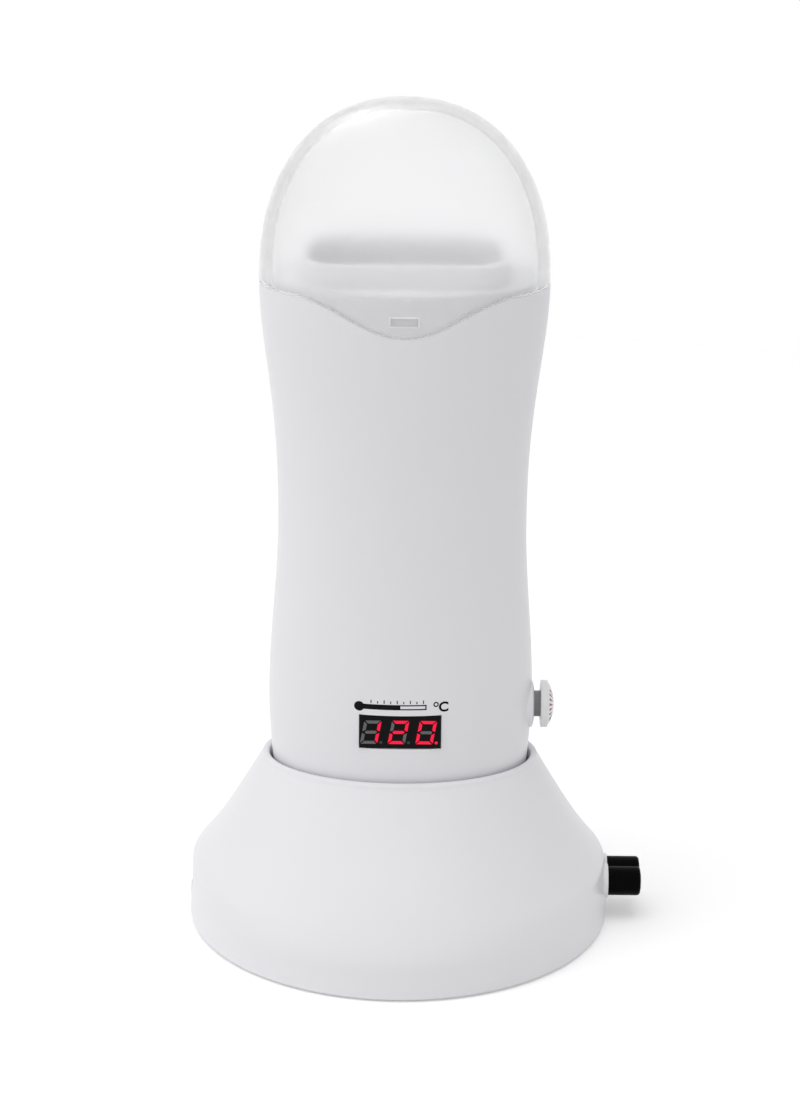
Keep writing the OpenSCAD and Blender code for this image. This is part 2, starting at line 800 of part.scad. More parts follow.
module base_plate() color([0.88, 0.88, 0.89]) {
  difference() {
    union() {
      translate([0, 0, feet_proud]) cylinder(r = plate_r, h = plate_t, $fn = 96);
      for (p = boss_spots) translate([p[0], p[1], plate_top - 1]) cylinder(r = cup_r, h = cup_h + 1);
      for (s = [-1, 1])
        slab([s * (block_x + 7) - 4, -7, plate_top - 1], [s * (block_x + 7) + 4, 7, link_z - block_h / 2]);
    }
    for (p = boss_spots) translate([p[0], p[1], 0]) {
      cylinder(r = head_r + 0.6, h = plate_top + cup_h - 1.6);
      cylinder(r = screw_r + 0.4, h = big);
    }
    for (a = [45:90:315]) rotate([0, 0, a]) translate([foot_ring, 0, -1])
      cylinder(r = foot_d / 2 + 0.1, h = 1 + feet_proud + foot_sunk);
  }
}

module base_feet() color([0.2, 0.2, 0.2]) {
  for (a = [45:90:315]) rotate([0, 0, a]) translate([foot_ring, 0, 0])
    cylinder(r = foot_d / 2, h = feet_proud + foot_sunk);
}

module base_screws() color(metal) {
  seat = plate_top + cup_h - 1.6;
  for (p = boss_spots) translate([p[0], p[1], 0]) {
    translate([0, 0, seat - head_t]) cylinder(r = head_r + 0.3, h = head_t);
    translate([0, 0, seat - 0.1]) cylinder(r = screw_r, h = base_screw_len + 0.1);
  }
}

module mains_inlet() color(black) {
  difference() {
    slab([-socket_x, -block_w / 2, link_z - block_h / 2], [-block_x, block_w / 2, link_z + block_h / 2]);
    rotate([0, 0, 180]) eight_x(socket_x - inlet_depth, socket_x + 1, lobe_r + link_gap);
    for (s = [-1, 1]) rod_x(-socket_x, -block_x + 1, sleeve_r + 0.02, s * pin_pitch / 2, link_z);
  }
}

module inlet_pins() color(metal) {
  root = socket_x - inlet_depth;
  tip = root + pin_len;
  for (s = [-1, 1]) {
    rod_x(-root, -block_x + 0.3, sleeve_r, s * pin_pitch / 2, link_z);
    rod_x(-tip, -root, pin_d / 2, s * pin_pitch / 2, link_z);
    translate([-tip, s * pin_pitch / 2, link_z]) rotate([0, -90, 0])
      cylinder(r1 = pin_d / 2, r2 = pin_d / 4, h = pin_d / 4);
  }
}

module link_plug() color(black) {
  nose = pad_x + link_len - socket_x;
  edge = 0.8;
  outline = concat(
    [[0, 0], [lobe_r, 0]],
    [for (i = [0:4]) let (a = 22.5 * i) [lobe_r - edge * (1 - cos(a)), nose - 2 * edge + edge * sin(a)]],
    [[lobe_r / 2, nose - edge / 3], [0, nose]]
  );
  difference() {
    union() {
      slab([block_x, -block_w / 2, link_z - block_h / 2], [socket_x, block_w / 2, link_z + block_h / 2]);
      for (s = [-1, 1]) translate([socket_x, s * lobe_pitch / 2, link_z]) rotate([0, 90, 0])
        rotate_extrude() polygon(outline);
      slab([socket_x - 1, -lobe_pitch / 2, link_z - lobe_r * 0.55],
        [socket_x + nose - 2 * edge, lobe_pitch / 2, link_z + lobe_r * 0.55]);
    }
    for (s = [-1, 1]) rod_x(block_x - 1, socket_x + nose + 1, sleeve_r + 0.02, s * pin_pitch / 2, link_z);
  }
}

module link_sleeves() color(brass_tone) {
  end = pad_x + link_len - 1.4;
  for (s = [-1, 1]) difference() {
    rod_x(block_x - 0.3, end, sleeve_r, s * pin_pitch / 2, link_z);
    rod_x(end - pin_len - 2, end + 1, pin_d / 2 + 0.02, s * pin_pitch / 2, link_z);
  }
}

module bus_bars() color(brass_tone) {
  tab = block_x - 0.3;
  for (s = [-1, 1]) translate([0, s * pin_pitch / 2, 0]) {
    slab([-tab, -bar_w / 2, bar_z], [tab, bar_w / 2, bar_z + bar_t]);
    for (e = [-1, 1])
      slab([e > 0 ? tab - bar_t : -tab, -bar_w / 2, bar_z],
        [e > 0 ? tab : bar_t - tab, bar_w / 2, link_z + 1.5]);
    slab([s * dock_pitch / 2 - 3, s > 0 ? -pin_pitch / 2 - 2.5 : -bar_w / 2, bar_z],
      [s * dock_pitch / 2 + 3, s > 0 ? bar_w / 2 : pin_pitch / 2 + 2.5, bar_z + bar_t]);
  }
}

module contact_block() color(black) {
  difference() {
    slab([-dock_w / 2, -dock_d / 2, dock_low], [dock_w / 2, dock_d / 2, well_under_z]);
    for (s = [-1, 1]) translate([s * dock_pitch / 2, 0, 0]) {
      cylinder(r = pocket_r, h = land_under);
      cylinder(r = plunger_d / 2 + shaft_play, h = big);
    }
  }
}

// One sprung docking contact. Its stem meets the bus bar at the end of its travel.
module plunger(side) {
  top = land_under - rest_gap;
  r = plunger_d / 2;
  stem_low = dock_low + plunger_travel + 0.05;
  translate([side * dock_pitch / 2, 0, 0]) {
    translate([0, 0, top - collar_t]) cylinder(r = plunger_collar_r, h = collar_t);
    translate([0, 0, stem_low]) cylinder(r = r - 1, h = top - collar_t + 0.5 - stem_low);
    translate([0, 0, top - 0.5]) cylinder(r = r, h = plunger_tip - 0.6 - top + 0.5);
    translate([0, 0, plunger_tip - 0.6]) cylinder(r1 = r, r2 = r - 0.6, h = 0.6);
  }
}

module plunger_left() color(brass_tone) plunger(-1);

module plunger_right() color(brass_tone) plunger(1);

// One round-wire compression spring from the bus bar to the plunger's collar.
module spring(side) {
  turns = 5;
  rings = 10;
  sides = 6;
  wire = 0.3;
  coil = plunger_d / 2 + 0.55;
  low = dock_low + wire + 0.02;
  rise = land_under - rest_gap - collar_t - 0.1 - wire - low;
  n = turns * rings;
  climb = atan(rise / (turns * 360 * PI / 180 * coil));
  points = [
    for (k = [0:n], j = [0:sides - 1])
      let (a = 360 * k / rings, b = 360 * j / sides, r = coil + wire * cos(b))
      [
        r * cos(a) + wire * sin(b) * sin(climb) * sin(a),
        r * sin(a) - wire * sin(b) * sin(climb) * cos(a),
        low + rise * k / n + wire * sin(b) * cos(climb)
      ]
  ];
  walls = [
    for (k = [0:n - 1], j = [0:sides - 1])
      let (m = (j + 1) % sides, a = k * sides)
      each [[a + j, a + sides + j, a + m], [a + m, a + sides + j, a + sides + m]]
  ];
  ends = [[for (j = [0:sides - 1]) j], [for (j = [sides - 1:-1:0]) n * sides + j]];
  translate([side * dock_pitch / 2, 0, 0])
    polyhedron(points = points, faces = concat(walls, ends), convexity = 8);
}

module spring_left() color(metal) spring(-1);

module spring_right() color(metal) spring(1);

base_shell();
base_plate();
base_feet();
base_screws();
mains_inlet();
inlet_pins();
link_plug();
link_sleeves();
bus_bars();
contact_block();
spring_left();
spring_right();
plunger_left();
plunger_right();
front_shell();
rear_shell();
foot_cover();
contact_discs();
mouth_collar();
cartridge_chamber();
heater_plates();
thermal_fuse();
control_board();
board_components();
board_screws();
display_module();
segments_lit();
segments_unlit();
dial_potentiometer();
shell_screws();
dial_shaft();
dial_knob();
cap_dome();
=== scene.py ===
"""A roll-on wax heater in its docking stand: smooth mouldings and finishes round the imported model."""

import json
import math

import bmesh
import bpy
from mathutils import Matrix, Vector


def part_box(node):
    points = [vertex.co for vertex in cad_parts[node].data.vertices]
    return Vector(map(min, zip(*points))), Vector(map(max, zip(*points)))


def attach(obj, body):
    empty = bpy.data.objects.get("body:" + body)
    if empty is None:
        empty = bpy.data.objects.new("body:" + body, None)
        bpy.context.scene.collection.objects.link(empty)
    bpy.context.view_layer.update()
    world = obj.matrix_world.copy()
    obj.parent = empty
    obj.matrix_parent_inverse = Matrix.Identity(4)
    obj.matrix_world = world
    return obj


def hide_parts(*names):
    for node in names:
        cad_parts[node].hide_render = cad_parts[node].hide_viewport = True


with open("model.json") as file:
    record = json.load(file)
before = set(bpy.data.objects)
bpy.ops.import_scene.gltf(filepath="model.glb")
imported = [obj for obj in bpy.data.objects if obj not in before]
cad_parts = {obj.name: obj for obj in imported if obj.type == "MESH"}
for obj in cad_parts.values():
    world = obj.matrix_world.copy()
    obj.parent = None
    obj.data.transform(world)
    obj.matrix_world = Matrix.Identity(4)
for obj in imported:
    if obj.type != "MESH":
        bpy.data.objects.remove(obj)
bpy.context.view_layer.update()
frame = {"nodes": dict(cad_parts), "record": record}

MM = 0.001

# ---------- camera ----------

PHOTO_H = 1097           # height of the photograph's frame, in pixels
FOCAL_PX = 3450          # focal length in the same pixels
SENSOR_MM = 36
CAMERA_PLACE = Vector((-0.55, -900, 430)) * MM
CAMERA_AIM = Vector((-0.55, 0, 109.7)) * MM
CAMERA_ROLL = math.radians(0.6)


def looking(place, aim):
    """The matrix of a camera or lamp at a place, which looks at an aim."""
    turn = (aim - place).to_track_quat("-Z", "Y").to_matrix().to_4x4()
    return Matrix.Translation(place) @ turn


def add_camera():
    """The photograph's view: a long lens from the front, a little above the cap."""
    data = bpy.data.cameras.new("camera")
    data.sensor_width = SENSOR_MM
    data.lens = FOCAL_PX / PHOTO_H * SENSOR_MM
    camera = bpy.data.objects.new("camera", data)
    bpy.context.scene.collection.objects.link(camera)
    camera.matrix_world = looking(CAMERA_PLACE, CAMERA_AIM) @ Matrix.Rotation(CAMERA_ROLL, 4, "Z")
    bpy.context.scene.camera = camera


# ---------- sizes ----------

cap_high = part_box("cap_dome")[1]
neck_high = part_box("front_shell")[1]
stand_low, stand_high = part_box("base_shell")

# Handset: half-widths, and the heights where they lie
BROW_R = cap_high.x
WAIST_R = 34.3 * MM
HIP_R = 36.9 * MM
FOOT_R = 34 * MM
DEPTH = cap_high.y / cap_high.x      # half-depth for each unit of half-width
DECK_Z = neck_high.z
SEAM_Z = DECK_Z - 1.8 * MM
WAIST_Z = 118.5 * MM
HIP_Z = 67.5 * MM
FOOT_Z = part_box("foot_cover")[0].z
BROW_LAG = 1.38          # how late the width grows between waist and brow
SHELL_WALL = 2.4 * MM
FOOT_ROUND = 3.5 * MM

# Cap and neck
TOP_Z = cap_high.z
DOME_POWER = 2.25        # 2 is an ellipse, more is squarer
CROWN_END = 0.997        # share of the dome's arc that is modelled, short of its pole
CAP_WALL = 2 * MM
CAP_GAP = 0.5 * MM
TONGUE_DEPTH = 9.6 * MM
TONGUE_W = 60 * MM
NECK_R = BROW_R - CAP_WALL - CAP_GAP
NECK_WALL = 2 * MM
NECK_ROUND = 0.6 * MM
NECK_ROOT_Z = SEAM_Z - TONGUE_DEPTH - 8 * MM
OVERLAP = 0.6 * MM       # how far the neck and the wall lie in each other
SEAM_GAP = 0.05 * MM
EDGE_STEP = 0.35 * MM    # the fine step in the housing's edge at the seam, inwards
EDGE_DROP = 0.28 * MM    # and downwards

# Stand
STAND_R = 59.4 * MM
SHOULDER_R = 58.7 * MM
SHOULDER_Z = 17.6 * MM
RIM_Z = stand_high.z
STAND_FOOT_Z = stand_low.z
WELL_GAP = 0.85 * MM
RIM_OUT = 2.4 * MM
RIM_OUT_FRONT = 2.55 * MM
RIM_ROUND = 0.9 * MM
RIM_ROUND_IN = 0.8 * MM
FLARE_HOLLOW = 0.11
SOFT_SIDE = 0.6 * MM     # how softly the flare turns into the skirt at the sides
SOFT_FRONT = 14 * MM     # and at front and back
WELL_FLOOR_Z = FOOT_Z - 0.3 * MM
WELL_FLOOR_T = 2 * MM
WELL_WALL = 1.6 * MM
STAND_WALL = 2.2 * MM

# Dial: its axis, shaft, knob and the boss that its shaft comes out of
shaft_low, shaft_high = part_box("dial_shaft")
knob_low, knob_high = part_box("dial_knob")
DIAL_Z = (shaft_low.z + shaft_high.z) / 2
SHAFT_R = (shaft_high.z - shaft_low.z) / 2
SHAFT_PLAY = 0.06 * MM
KNOB_R = (knob_high.z - knob_low.z) / 2
KNOB_BACK = knob_low.x
KNOB_T = knob_high.x - knob_low.x
POINTER_TURN = math.radians(-13)
BOSS_R = 6.65 * MM
BOSS_X = KNOB_BACK - 1.75 * MM

# Screws: (x, z) of the towers that cross the handset, where their heads sit, and the screws' sizes
TOWERS = [(side * x, z) for side in (-1, 1)
          for x, z in ((32 * MM, SEAM_Z - 14 * MM), (25.5 * MM, FOOT_Z + 16 * MM))]
TOWER_R = 3.8 * MM
SCREW_WELL_R = 2.8 * MM
SEAT_Y = 6 * MM
SCREW_R = 1.3 * MM
HEAD_T = 1.6 * MM
SHELL_HEAD_R = 2.5 * MM
BASE_HEAD_R = 2.8 * MM

# Connectors
link_low, link_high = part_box("link_plug")
LINK_Z = (link_low.z + link_high.z) / 2
LOBE_R = 4.15 * MM
LOBE_PITCH = 7 * MM
PIN_PITCH = 8.6 * MM
SLEEVE_R = 1.67 * MM
LINK_END = link_high.x - 0.6 * MM
LINK_BLOCK = 14 * MM     # length of the plug's block inside the stand
LINK_GAP = 0.2 * MM
PAD_X = STAND_R + 0.3 * MM
PAD_BORDER = 0.8 * MM
PAD_ROOT_X = STAND_R - 4 * MM
DOCK_PITCH = 24 * MM
PLUNGER_HOLE_R = 2.3 * MM

# Display
module_low, module_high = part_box("display_module")
MODULE_T = 6.1 * MM
DIGIT_PITCH = 7.62 * MM
DIGIT_W, DIGIT_H = 3.9 * MM, 6.9 * MM
STROKE = 0.86 * MM
STROKE_GAP = 0.26 * MM
SLANT = math.tan(math.radians(10))
POINT_X, POINT_FALL = DIGIT_W / 2 + 0.4 * MM, (DIGIT_H - STROKE) / 2
LIT = ([1, 2], [0, 1, 3, 4, 6], [0, 1, 2, 3, 4, 5])    # 120: strokes clockwise from the top, 6 the bar

# Cartridge mouth
collar_low, collar_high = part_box("mouth_collar")
chamber_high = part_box("cartridge_chamber")[1]
BORE_W, BORE_D, BORE_CORNER = 53.2 * MM, 28.4 * MM, 9 * MM
CHAMBER_WALL = 1 * MM
COLLAR_WALL = 1.3 * MM

SIDES = 144              # sides of a ring round the handset or the stand
BIG = 0.1                # reach of a cutter beyond what it cuts, in metres


def near(a, b):
    """Whether two lengths are the same but for rounding."""
    return abs(a - b) < 0.02 * MM


def ease(t):
    """Smooth step from 0 to 1 with level ends."""
    return 3 * t**2 - 2 * t**3


def body_r(z):
    """Half-width of the handset's outside at height z."""
    if z < HIP_Z:
        return HIP_R - (HIP_R - FOOT_R) * ease((HIP_Z - z) / (HIP_Z - FOOT_Z))
    if z < WAIST_Z:
        return WAIST_R + (HIP_R - WAIST_R) * ease((WAIST_Z - z) / (WAIST_Z - HIP_Z))
    rise = min(1, (z - WAIST_Z) / (SEAM_Z - WAIST_Z))
    return WAIST_R + (BROW_R - WAIST_R) * ease(rise**BROW_LAG)


def seam_at(x):
    """Height of the cap seam: a level line with a cosine tongue in the middle."""
    if abs(x) > TONGUE_W / 2:
        return SEAM_Z
    return SEAM_Z - TONGUE_DEPTH * (1 + math.cos(math.tau * x / TONGUE_W)) / 2


def soft_min(a, b, softness):
    """Smooth lesser of two lengths."""
    share = min(1, max(0, 0.5 + 0.5 * (b - a) / softness))
    return b * (1 - share) + a * share - softness * share * (1 - share)


def stand_half(z, rim, softness):
    """Half-width of the stand's outside at height z along one axis."""
    fall = max(0, (RIM_Z - z) / (RIM_Z - SHOULDER_Z))
    flare = (1 - FLARE_HOLLOW) * fall + FLARE_HOLLOW * fall**4.5
    skirt = STAND_R - (STAND_R - SHOULDER_R) * (z / SHOULDER_Z) ** 2
    return soft_min(rim + (SHOULDER_R - rim) * flare, skirt, softness)


def steps(low, high, count):
    """Numbers from low to high in equal steps, both ends included."""
    return [low + (high - low) * i / count for i in range(count + 1)]


# ---------- modelling operators ----------


def start(name, primitive, stretch=(1, 1, 1), **settings):
    """Adds a primitive by its operator, alone in the selection, with its size and place in its mesh."""
    bpy.ops.object.select_all(action="DESELECT")
    primitive(**settings)
    piece = bpy.context.object
    piece.name = piece.data.name = name
    piece.scale = stretch
    bpy.ops.object.transform_apply(location=True, rotation=True, scale=True)
    return piece


def edit(piece):
    """Opens a piece in edit mode, with all of it selected."""
    bpy.ops.object.select_all(action="DESELECT")
    bpy.context.view_layer.objects.active = piece
    piece.select_set(True)
    bpy.ops.object.mode_set(mode="EDIT")
    bpy.ops.mesh.select_mode(type="VERT")
    bpy.ops.mesh.select_all(action="SELECT")


def close():
    """Leaves edit mode."""
    bpy.ops.object.mode_set(mode="OBJECT")


def choose(kind, test):
    """Selects only the vertices, edges or faces that pass a test."""
    bpy.ops.mesh.select_all(action="DESELECT")
    bpy.ops.mesh.select_mode(type=kind)
    mesh = bmesh.from_edit_mesh(bpy.context.object.data)
    for item in {"VERT": mesh.verts, "EDGE": mesh.edges, "FACE": mesh.faces}[kind]:
        if test(item):
            item.select_set(True)
    mesh.select_flush_mode()
    bmesh.update_edit_mesh(bpy.context.object.data)


def outwards():
    """Merges doubles and turns all faces outwards, in edit mode."""
    bpy.ops.mesh.select_all(action="SELECT")
    bpy.ops.mesh.remove_doubles(threshold=0.001 * MM)
    bpy.ops.mesh.normals_make_consistent(inside=False)


def stacked(name, rings, sides=SIDES, loop=False):
    """A ring extruded from oval to oval, where rings = [(half-width, half-depth, z), ...].
    With loop the last ring is bridged to the first, and otherwise both ends are filled."""
    (a, b, z), *others = rings
    piece = start(name, bpy.ops.mesh.primitive_circle_add, vertices=sides, radius=1)
    edit(piece)
    bpy.ops.transform.resize(value=(a, b, 1), center_override=(0, 0, 0))
    bpy.ops.transform.translate(value=(0, 0, z))
    for a1, b1, z1 in others:
        bpy.ops.mesh.extrude_region_move(TRANSFORM_OT_translate={"value": (0, 0, z1 - z)})
        bpy.ops.transform.resize(value=(a1 / a, b1 / b, 1), center_override=(0, 0, z1))
        a, b, z = a1, b1, z1
    bpy.ops.mesh.select_mode(type="EDGE")
    bpy.ops.mesh.select_all(action="DESELECT")
    bpy.ops.mesh.select_non_manifold()
    if loop:
        bpy.ops.mesh.bridge_edge_loops()
    else:
        bpy.ops.mesh.fill_holes(sides=0)
    outwards()
    close()
    return piece


def bevel(piece, test, offset, segments):
    """Rounds the edges of a piece that pass a test."""
    edit(piece)
    choose("EDGE", test)
    bpy.ops.mesh.bevel(offset=offset, segments=segments, clamp_overlap=True)
    close()


def runs_along(edge, axis):
    """Whether an edge runs along an axis: 0, 1 or 2 for X, Y or Z."""
    a, b = (v.co for v in edge.verts)
    return all(near(a[i], b[i]) for i in range(3) if i != axis)


def lies_at(edge, axis, level):
    """Whether an edge lies across an axis, where that coordinate has a level."""
    return all(near(v.co[axis], level) for v in edge.verts)


def joined(name, pieces):
    """Joins loose pieces into one object."""
    bpy.ops.object.select_all(action="DESELECT")
    for piece in pieces:
        piece.select_set(True)
    bpy.context.view_layer.objects.active = pieces[0]
    bpy.ops.object.join()
    pieces[0].name = pieces[0].data.name = name
    return pieces[0]


def laid(piece, turn, place):
    """Turns a piece about the origin and moves it, with the place kept in its mesh."""
    bpy.ops.object.select_all(action="DESELECT")
    piece.select_set(True)
    bpy.context.view_layer.objects.active = piece
    piece.rotation_euler, piece.location = turn, place
    bpy.ops.object.transform_apply(location=True, rotation=True, scale=True)
    return piece


def turned(name, outline, sides=SIDES, squash=DEPTH, loop=False):
    """An outline of (half-width, z) points turned round the handset's axis and squashed."""
    return stacked(name, [(r, r * squash, z) for r, z in outline], sides, loop)


def block(name, low, high):
    """A box between two corners, as a cutter or a start."""
    low, high = Vector(low), Vector(high)
    return start(name, bpy.ops.mesh.primitive_cube_add, size=1, location=(low + high) / 2, stretch=high - low)


def rod(name, axis, start_at, end_at, radius, sides):
    """A cylinder along an axis ("X", "Y" or "Z") between two points, as a cutter or a start."""
    start_at, end_at = Vector(start_at), Vector(end_at)
    turn = {"X": (0, math.pi / 2, 0), "Y": (math.pi / 2, 0, 0), "Z": (0, 0, 0)}[axis]
    return start(name, bpy.ops.mesh.primitive_cylinder_add, vertices=sides, radius=radius,
                 depth=(end_at - start_at).length, location=(start_at + end_at) / 2, rotation=turn)


def apply(piece, kind, **settings):
    """Adds one modifier with its settings and applies it."""
    modifier = piece.modifiers.new(kind.lower(), kind)
    for key, value in settings.items():
        setattr(modifier, key, value)
    with bpy.context.temp_override(object=piece, active_object=piece):
        bpy.ops.object.modifier_apply(modifier=modifier.name)


def carve(piece, tool, operation="DIFFERENCE"):
    """Cuts a tool out of a piece, adds it, or keeps what both hold. The tool is used up."""
    apply(piece, "BOOLEAN", object=tool, operation=operation, solver="EXACT")
    bpy.data.objects.remove(tool)


def copy(piece, name):
    """A copy of a piece with its own mesh."""
    twin = piece.copy()
    twin.data = piece.data.copy()
    twin.name = twin.data.name = name
    bpy.context.scene.collection.objects.link(twin)
    return twin


def upright(name, width, depth, corner, low, high):
    """A block round the Z axis with round upright edges, from one height to another."""
    piece = block(name, (-width / 2, -depth / 2, low), (width / 2, depth / 2, high))
    bevel(piece, lambda e: runs_along(e, 2), corner, 14)
    return piece


def half(piece, side, gap):
    """Keeps the front (-1) or rear (1) half of a piece, short of the middle by a gap."""
    carve(piece, block("half_space", (-BIG, min(side * gap, side * BIG), -BIG),
                       (BIG, max(side * gap, side * BIG), 4 * BIG)), "INTERSECT")


def finish(piece, body, slot, *replaced, angle=32):
    """Smooths a piece, puts it on its body, hides the imported parts that it stands for and gives it its
    finish.
    """
    bpy.ops.object.select_all(action="DESELECT")
    piece.select_set(True)
    bpy.context.view_layer.objects.active = piece
    bpy.ops.object.shade_smooth_by_angle(angle=math.radians(angle))
    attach(piece, body)
    if replaced:
        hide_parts(*replaced)
    piece.data.materials.clear()
    piece.data.materials.append(FINISHES[slot])


def second(piece, material, test):
    """Gives the faces that pass a test a second material."""
    piece.data.materials.append(material)
    edit(piece)
    choose("FACE", test)
    piece.active_material_index = 1
    bpy.ops.object.material_slot_assign()
    close()


# ---------- finishes ----------


class Value:
    """A shader socket in an expression: each operation adds its Math node."""

    def __init__(self, shader, socket):
        self.shader, self.socket = shader, socket

    def math(self, operation, *others):
        """One Math node with this value as its first input."""
        return self.shader.node("ShaderNodeMath", {"operation": operation}, 0, self, *others)

    def __add__(self, other):
        return self.math("ADD", other)

    def __sub__(self, other):
        return self.math("SUBTRACT", other)

    def __rsub__(self, other):
        return self * -1 + other

    def __mul__(self, other):
        return self.math("MULTIPLY", other)

    def __truediv__(self, other):
        return self.math("DIVIDE", other)

    def __pow__(self, other):
        return self.math("POWER", other)

    def __gt__(self, other):
        return self.math("GREATER_THAN", other)

    def __lt__(self, other):
        return self.math("LESS_THAN", other)

    __radd__, __rmul__ = __add__, __mul__


class Shader:
    """The node tree of one material or of the world, with the shader node that it starts with."""

    def __init__(self, owner, surface="Principled BSDF"):
        self.owner = owner
        owner.use_nodes = True
        self.tree = owner.node_tree
        self.surface = self.tree.nodes[surface]

    def node(self, kind, settings, out, *inputs, **named):
        """Adds a node, sets it, feeds its inputs by order or by name, and gives one output."""
        node = self.tree.nodes.new(kind)
        for key, value in settings.items():
            setattr(node, key, value)
        for key, value in [*enumerate(inputs), *named.items()]:
            self.feed(node.inputs[key if isinstance(key, int) else key.replace("_", " ")], value)
        return Value(self, node.outputs[out])

    def feed(self, socket, value):
        """Links a value to a socket, or sets the socket to a number or colour."""
        if isinstance(value, Value):
            self.tree.links.new(value.socket, socket)
        elif value is not None:
            socket.default_value = value

    def place(self):
        """Object coordinates, in metres."""
        return self.node("ShaderNodeTexCoord", {}, "Object")

    def noise(self, scale, detail):
        """Smooth noise from 0 to 1 over the surface; scale is in waves per metre."""
        return self.node("ShaderNodeTexNoise", {}, "Fac", Vector=self.place(), Scale=scale,
                         Detail=detail, Roughness=0.55)

    def blend(self, share, first, second):
        """A colour between two others."""
        return self.node("ShaderNodeMix", {"data_type": "RGBA"}, 2, share, None, None, None, None, None,
                         first, second)

    def bump(self, height, strength, distance):
        """A normal that follows a height."""
        return self.node("ShaderNodeBump", {}, 0, Strength=strength, Distance=distance, Height=height)

    def seen(self):
        """1 for what the camera, gloss and clear plastic see, and 0 for light."""
        camera, gloss, clear = (self.node("ShaderNodeLightPath", {}, f"Is {ray} Ray")
                                for ray in ("Camera", "Glossy", "Transmission"))
        return (camera + gloss + clear).math("MINIMUM", 1)

    def set(self, **values):
        """Feeds the shader's own sockets: Base_Color, Roughness, Normal and so on."""
        for key, value in values.items():
            self.feed(self.surface.inputs[key.replace("_", " ")], value)


def new_finish(name):
    """The shader of a new material."""
    return Shader(bpy.data.materials.new(name))


def rgba(r, g, b):
    """An opaque colour."""
    return (r, g, b, 1)


def plastic(name, tone, roughness, coat=0.0, grain=0.0, grain_scale=2500, shift=0.015, shine=0.5,
            printed=None):
    """A moulded plastic: a slight drift of tone, an uneven gloss, and flow waves or fine grain."""
    shader = new_finish(name)
    drift = shader.noise(28, detail=2)
    darker = rgba(*(c * (1 - shift) for c in tone))
    waves = shader.noise(160, detail=2)
    gloss = roughness * 0.9 + waves * (roughness * 0.2)
    height = waves * 0.5 + shader.noise(grain_scale, detail=4) * grain
    colour = shader.blend(drift, darker, rgba(*tone))
    shader.set(Base_Color=printed(shader, colour) if printed else colour, Roughness=gloss,
               Normal=shader.bump(height, 0.25, 0.02 * MM), Coat_Weight=coat, Coat_Roughness=0.12,
               IOR=1.5, Specular_IOR_Level=shine)
    return shader.owner


def dial_marks(shader, ground):
    """The knob's print: a row of dark red wedges and one grey mark in a ring on its face."""
    inner, outer, wedge_step = 3.5 * MM, 5.7 * MM, math.radians(15)
    narrow_end, wide_end = 0.2, 0.52
    x, y, z = (shader.node("ShaderNodeSeparateXYZ", {}, axis, Vector=shader.place()) for axis in "XYZ")
    forward, up = y * -1, z - DIAL_Z
    reach = (forward * forward + up * up) ** 0.5
    turn = up.math("ARCTAN2", forward)
    step = (turn / wedge_step).math("FRACT")
    ring = (reach > inner) * (reach < outer) * (x > KNOB_BACK + 1 * MM)
    width = narrow_end + (reach - inner) * ((wide_end - narrow_end) / (outer - inner))
    red = ring * (step < width) * (turn > math.radians(-15)) * (turn < math.radians(74))
    grey = ring * (turn > math.radians(-38)) * (turn < math.radians(-24))
    return shader.blend(grey, shader.blend(red, ground, rgba(0.22, 0.025, 0.03)), rgba(0.06, 0.06, 0.065))


def dark_points(shader, ground):
    """Darkens the unlit decimal points among the grey segments."""
    reach = 0.62 * MM
    x, z = (shader.node("ShaderNodeSeparateXYZ", {}, axis, Vector=shader.place()) for axis in "XZ")
    rise = z - (module_low.z + module_high.z) / 2 + POINT_FALL
    points = [((x - place) * (x - place) + rise * rise) < reach**2
              for place in (POINT_X - DIGIT_PITCH, POINT_X)]
    return shader.blend(points[0] + points[1], ground, rgba(0.02, 0.02, 0.022))


def metal(name, tone, roughness):
    """A metal with faint rolling lines and an uneven, slightly dulled surface."""
    shader = new_finish(name)
    stretched = shader.node("ShaderNodeMapping", {}, 0, Vector=shader.place(), Scale=(1, 1, 24))
    lines = shader.node("ShaderNodeTexNoise", {}, "Fac", Vector=stretched, Scale=400, Detail=4)
    cloud = shader.noise(90, detail=3)
    dull = rgba(*(c * 0.86 for c in tone))
    shader.set(Base_Color=shader.blend(cloud, dull, rgba(*tone)), Metallic=1.0,
               Roughness=roughness + lines * 0.12 + cloud * 0.08,
               Normal=shader.bump(lines, 0.15, 0.01 * MM))
    return shader.owner


def translucent(name, roughness, grain, haze, ior, coat=0.0):
    """A clear moulding with a polished or an etched face, which blurs what lies behind it."""
    shader = new_finish(name)
    etching = shader.noise(2200, detail=3)
    cloud = shader.noise(45, detail=2)
    shader.set(Base_Color=shader.blend(cloud, rgba(0.978, 0.978, 0.984), rgba(0.988, 0.988, 0.99)),
               Roughness=roughness * 0.95 + cloud * (roughness * 0.1), Transmission_Weight=1 - haze, IOR=ior,
               Normal=shader.bump(etching, grain, 0.02 * MM), Coat_Weight=coat, Coat_Roughness=0.04)
    return shader.owner


def lamp(name, tone, strength):
    """A lit segment: red resin that glows, a little brighter in patches."""
    shader = new_finish(name)
    cloud = shader.noise(900, detail=2)
    shader.set(Base_Color=rgba(*(c * 0.25 for c in tone)), Roughness=0.4, Specular_IOR_Level=0.1,
               Emission_Color=shader.blend(cloud, rgba(*(c * 0.9 for c in tone)), rgba(*tone)),
               Emission_Strength=strength)
    return shader.owner


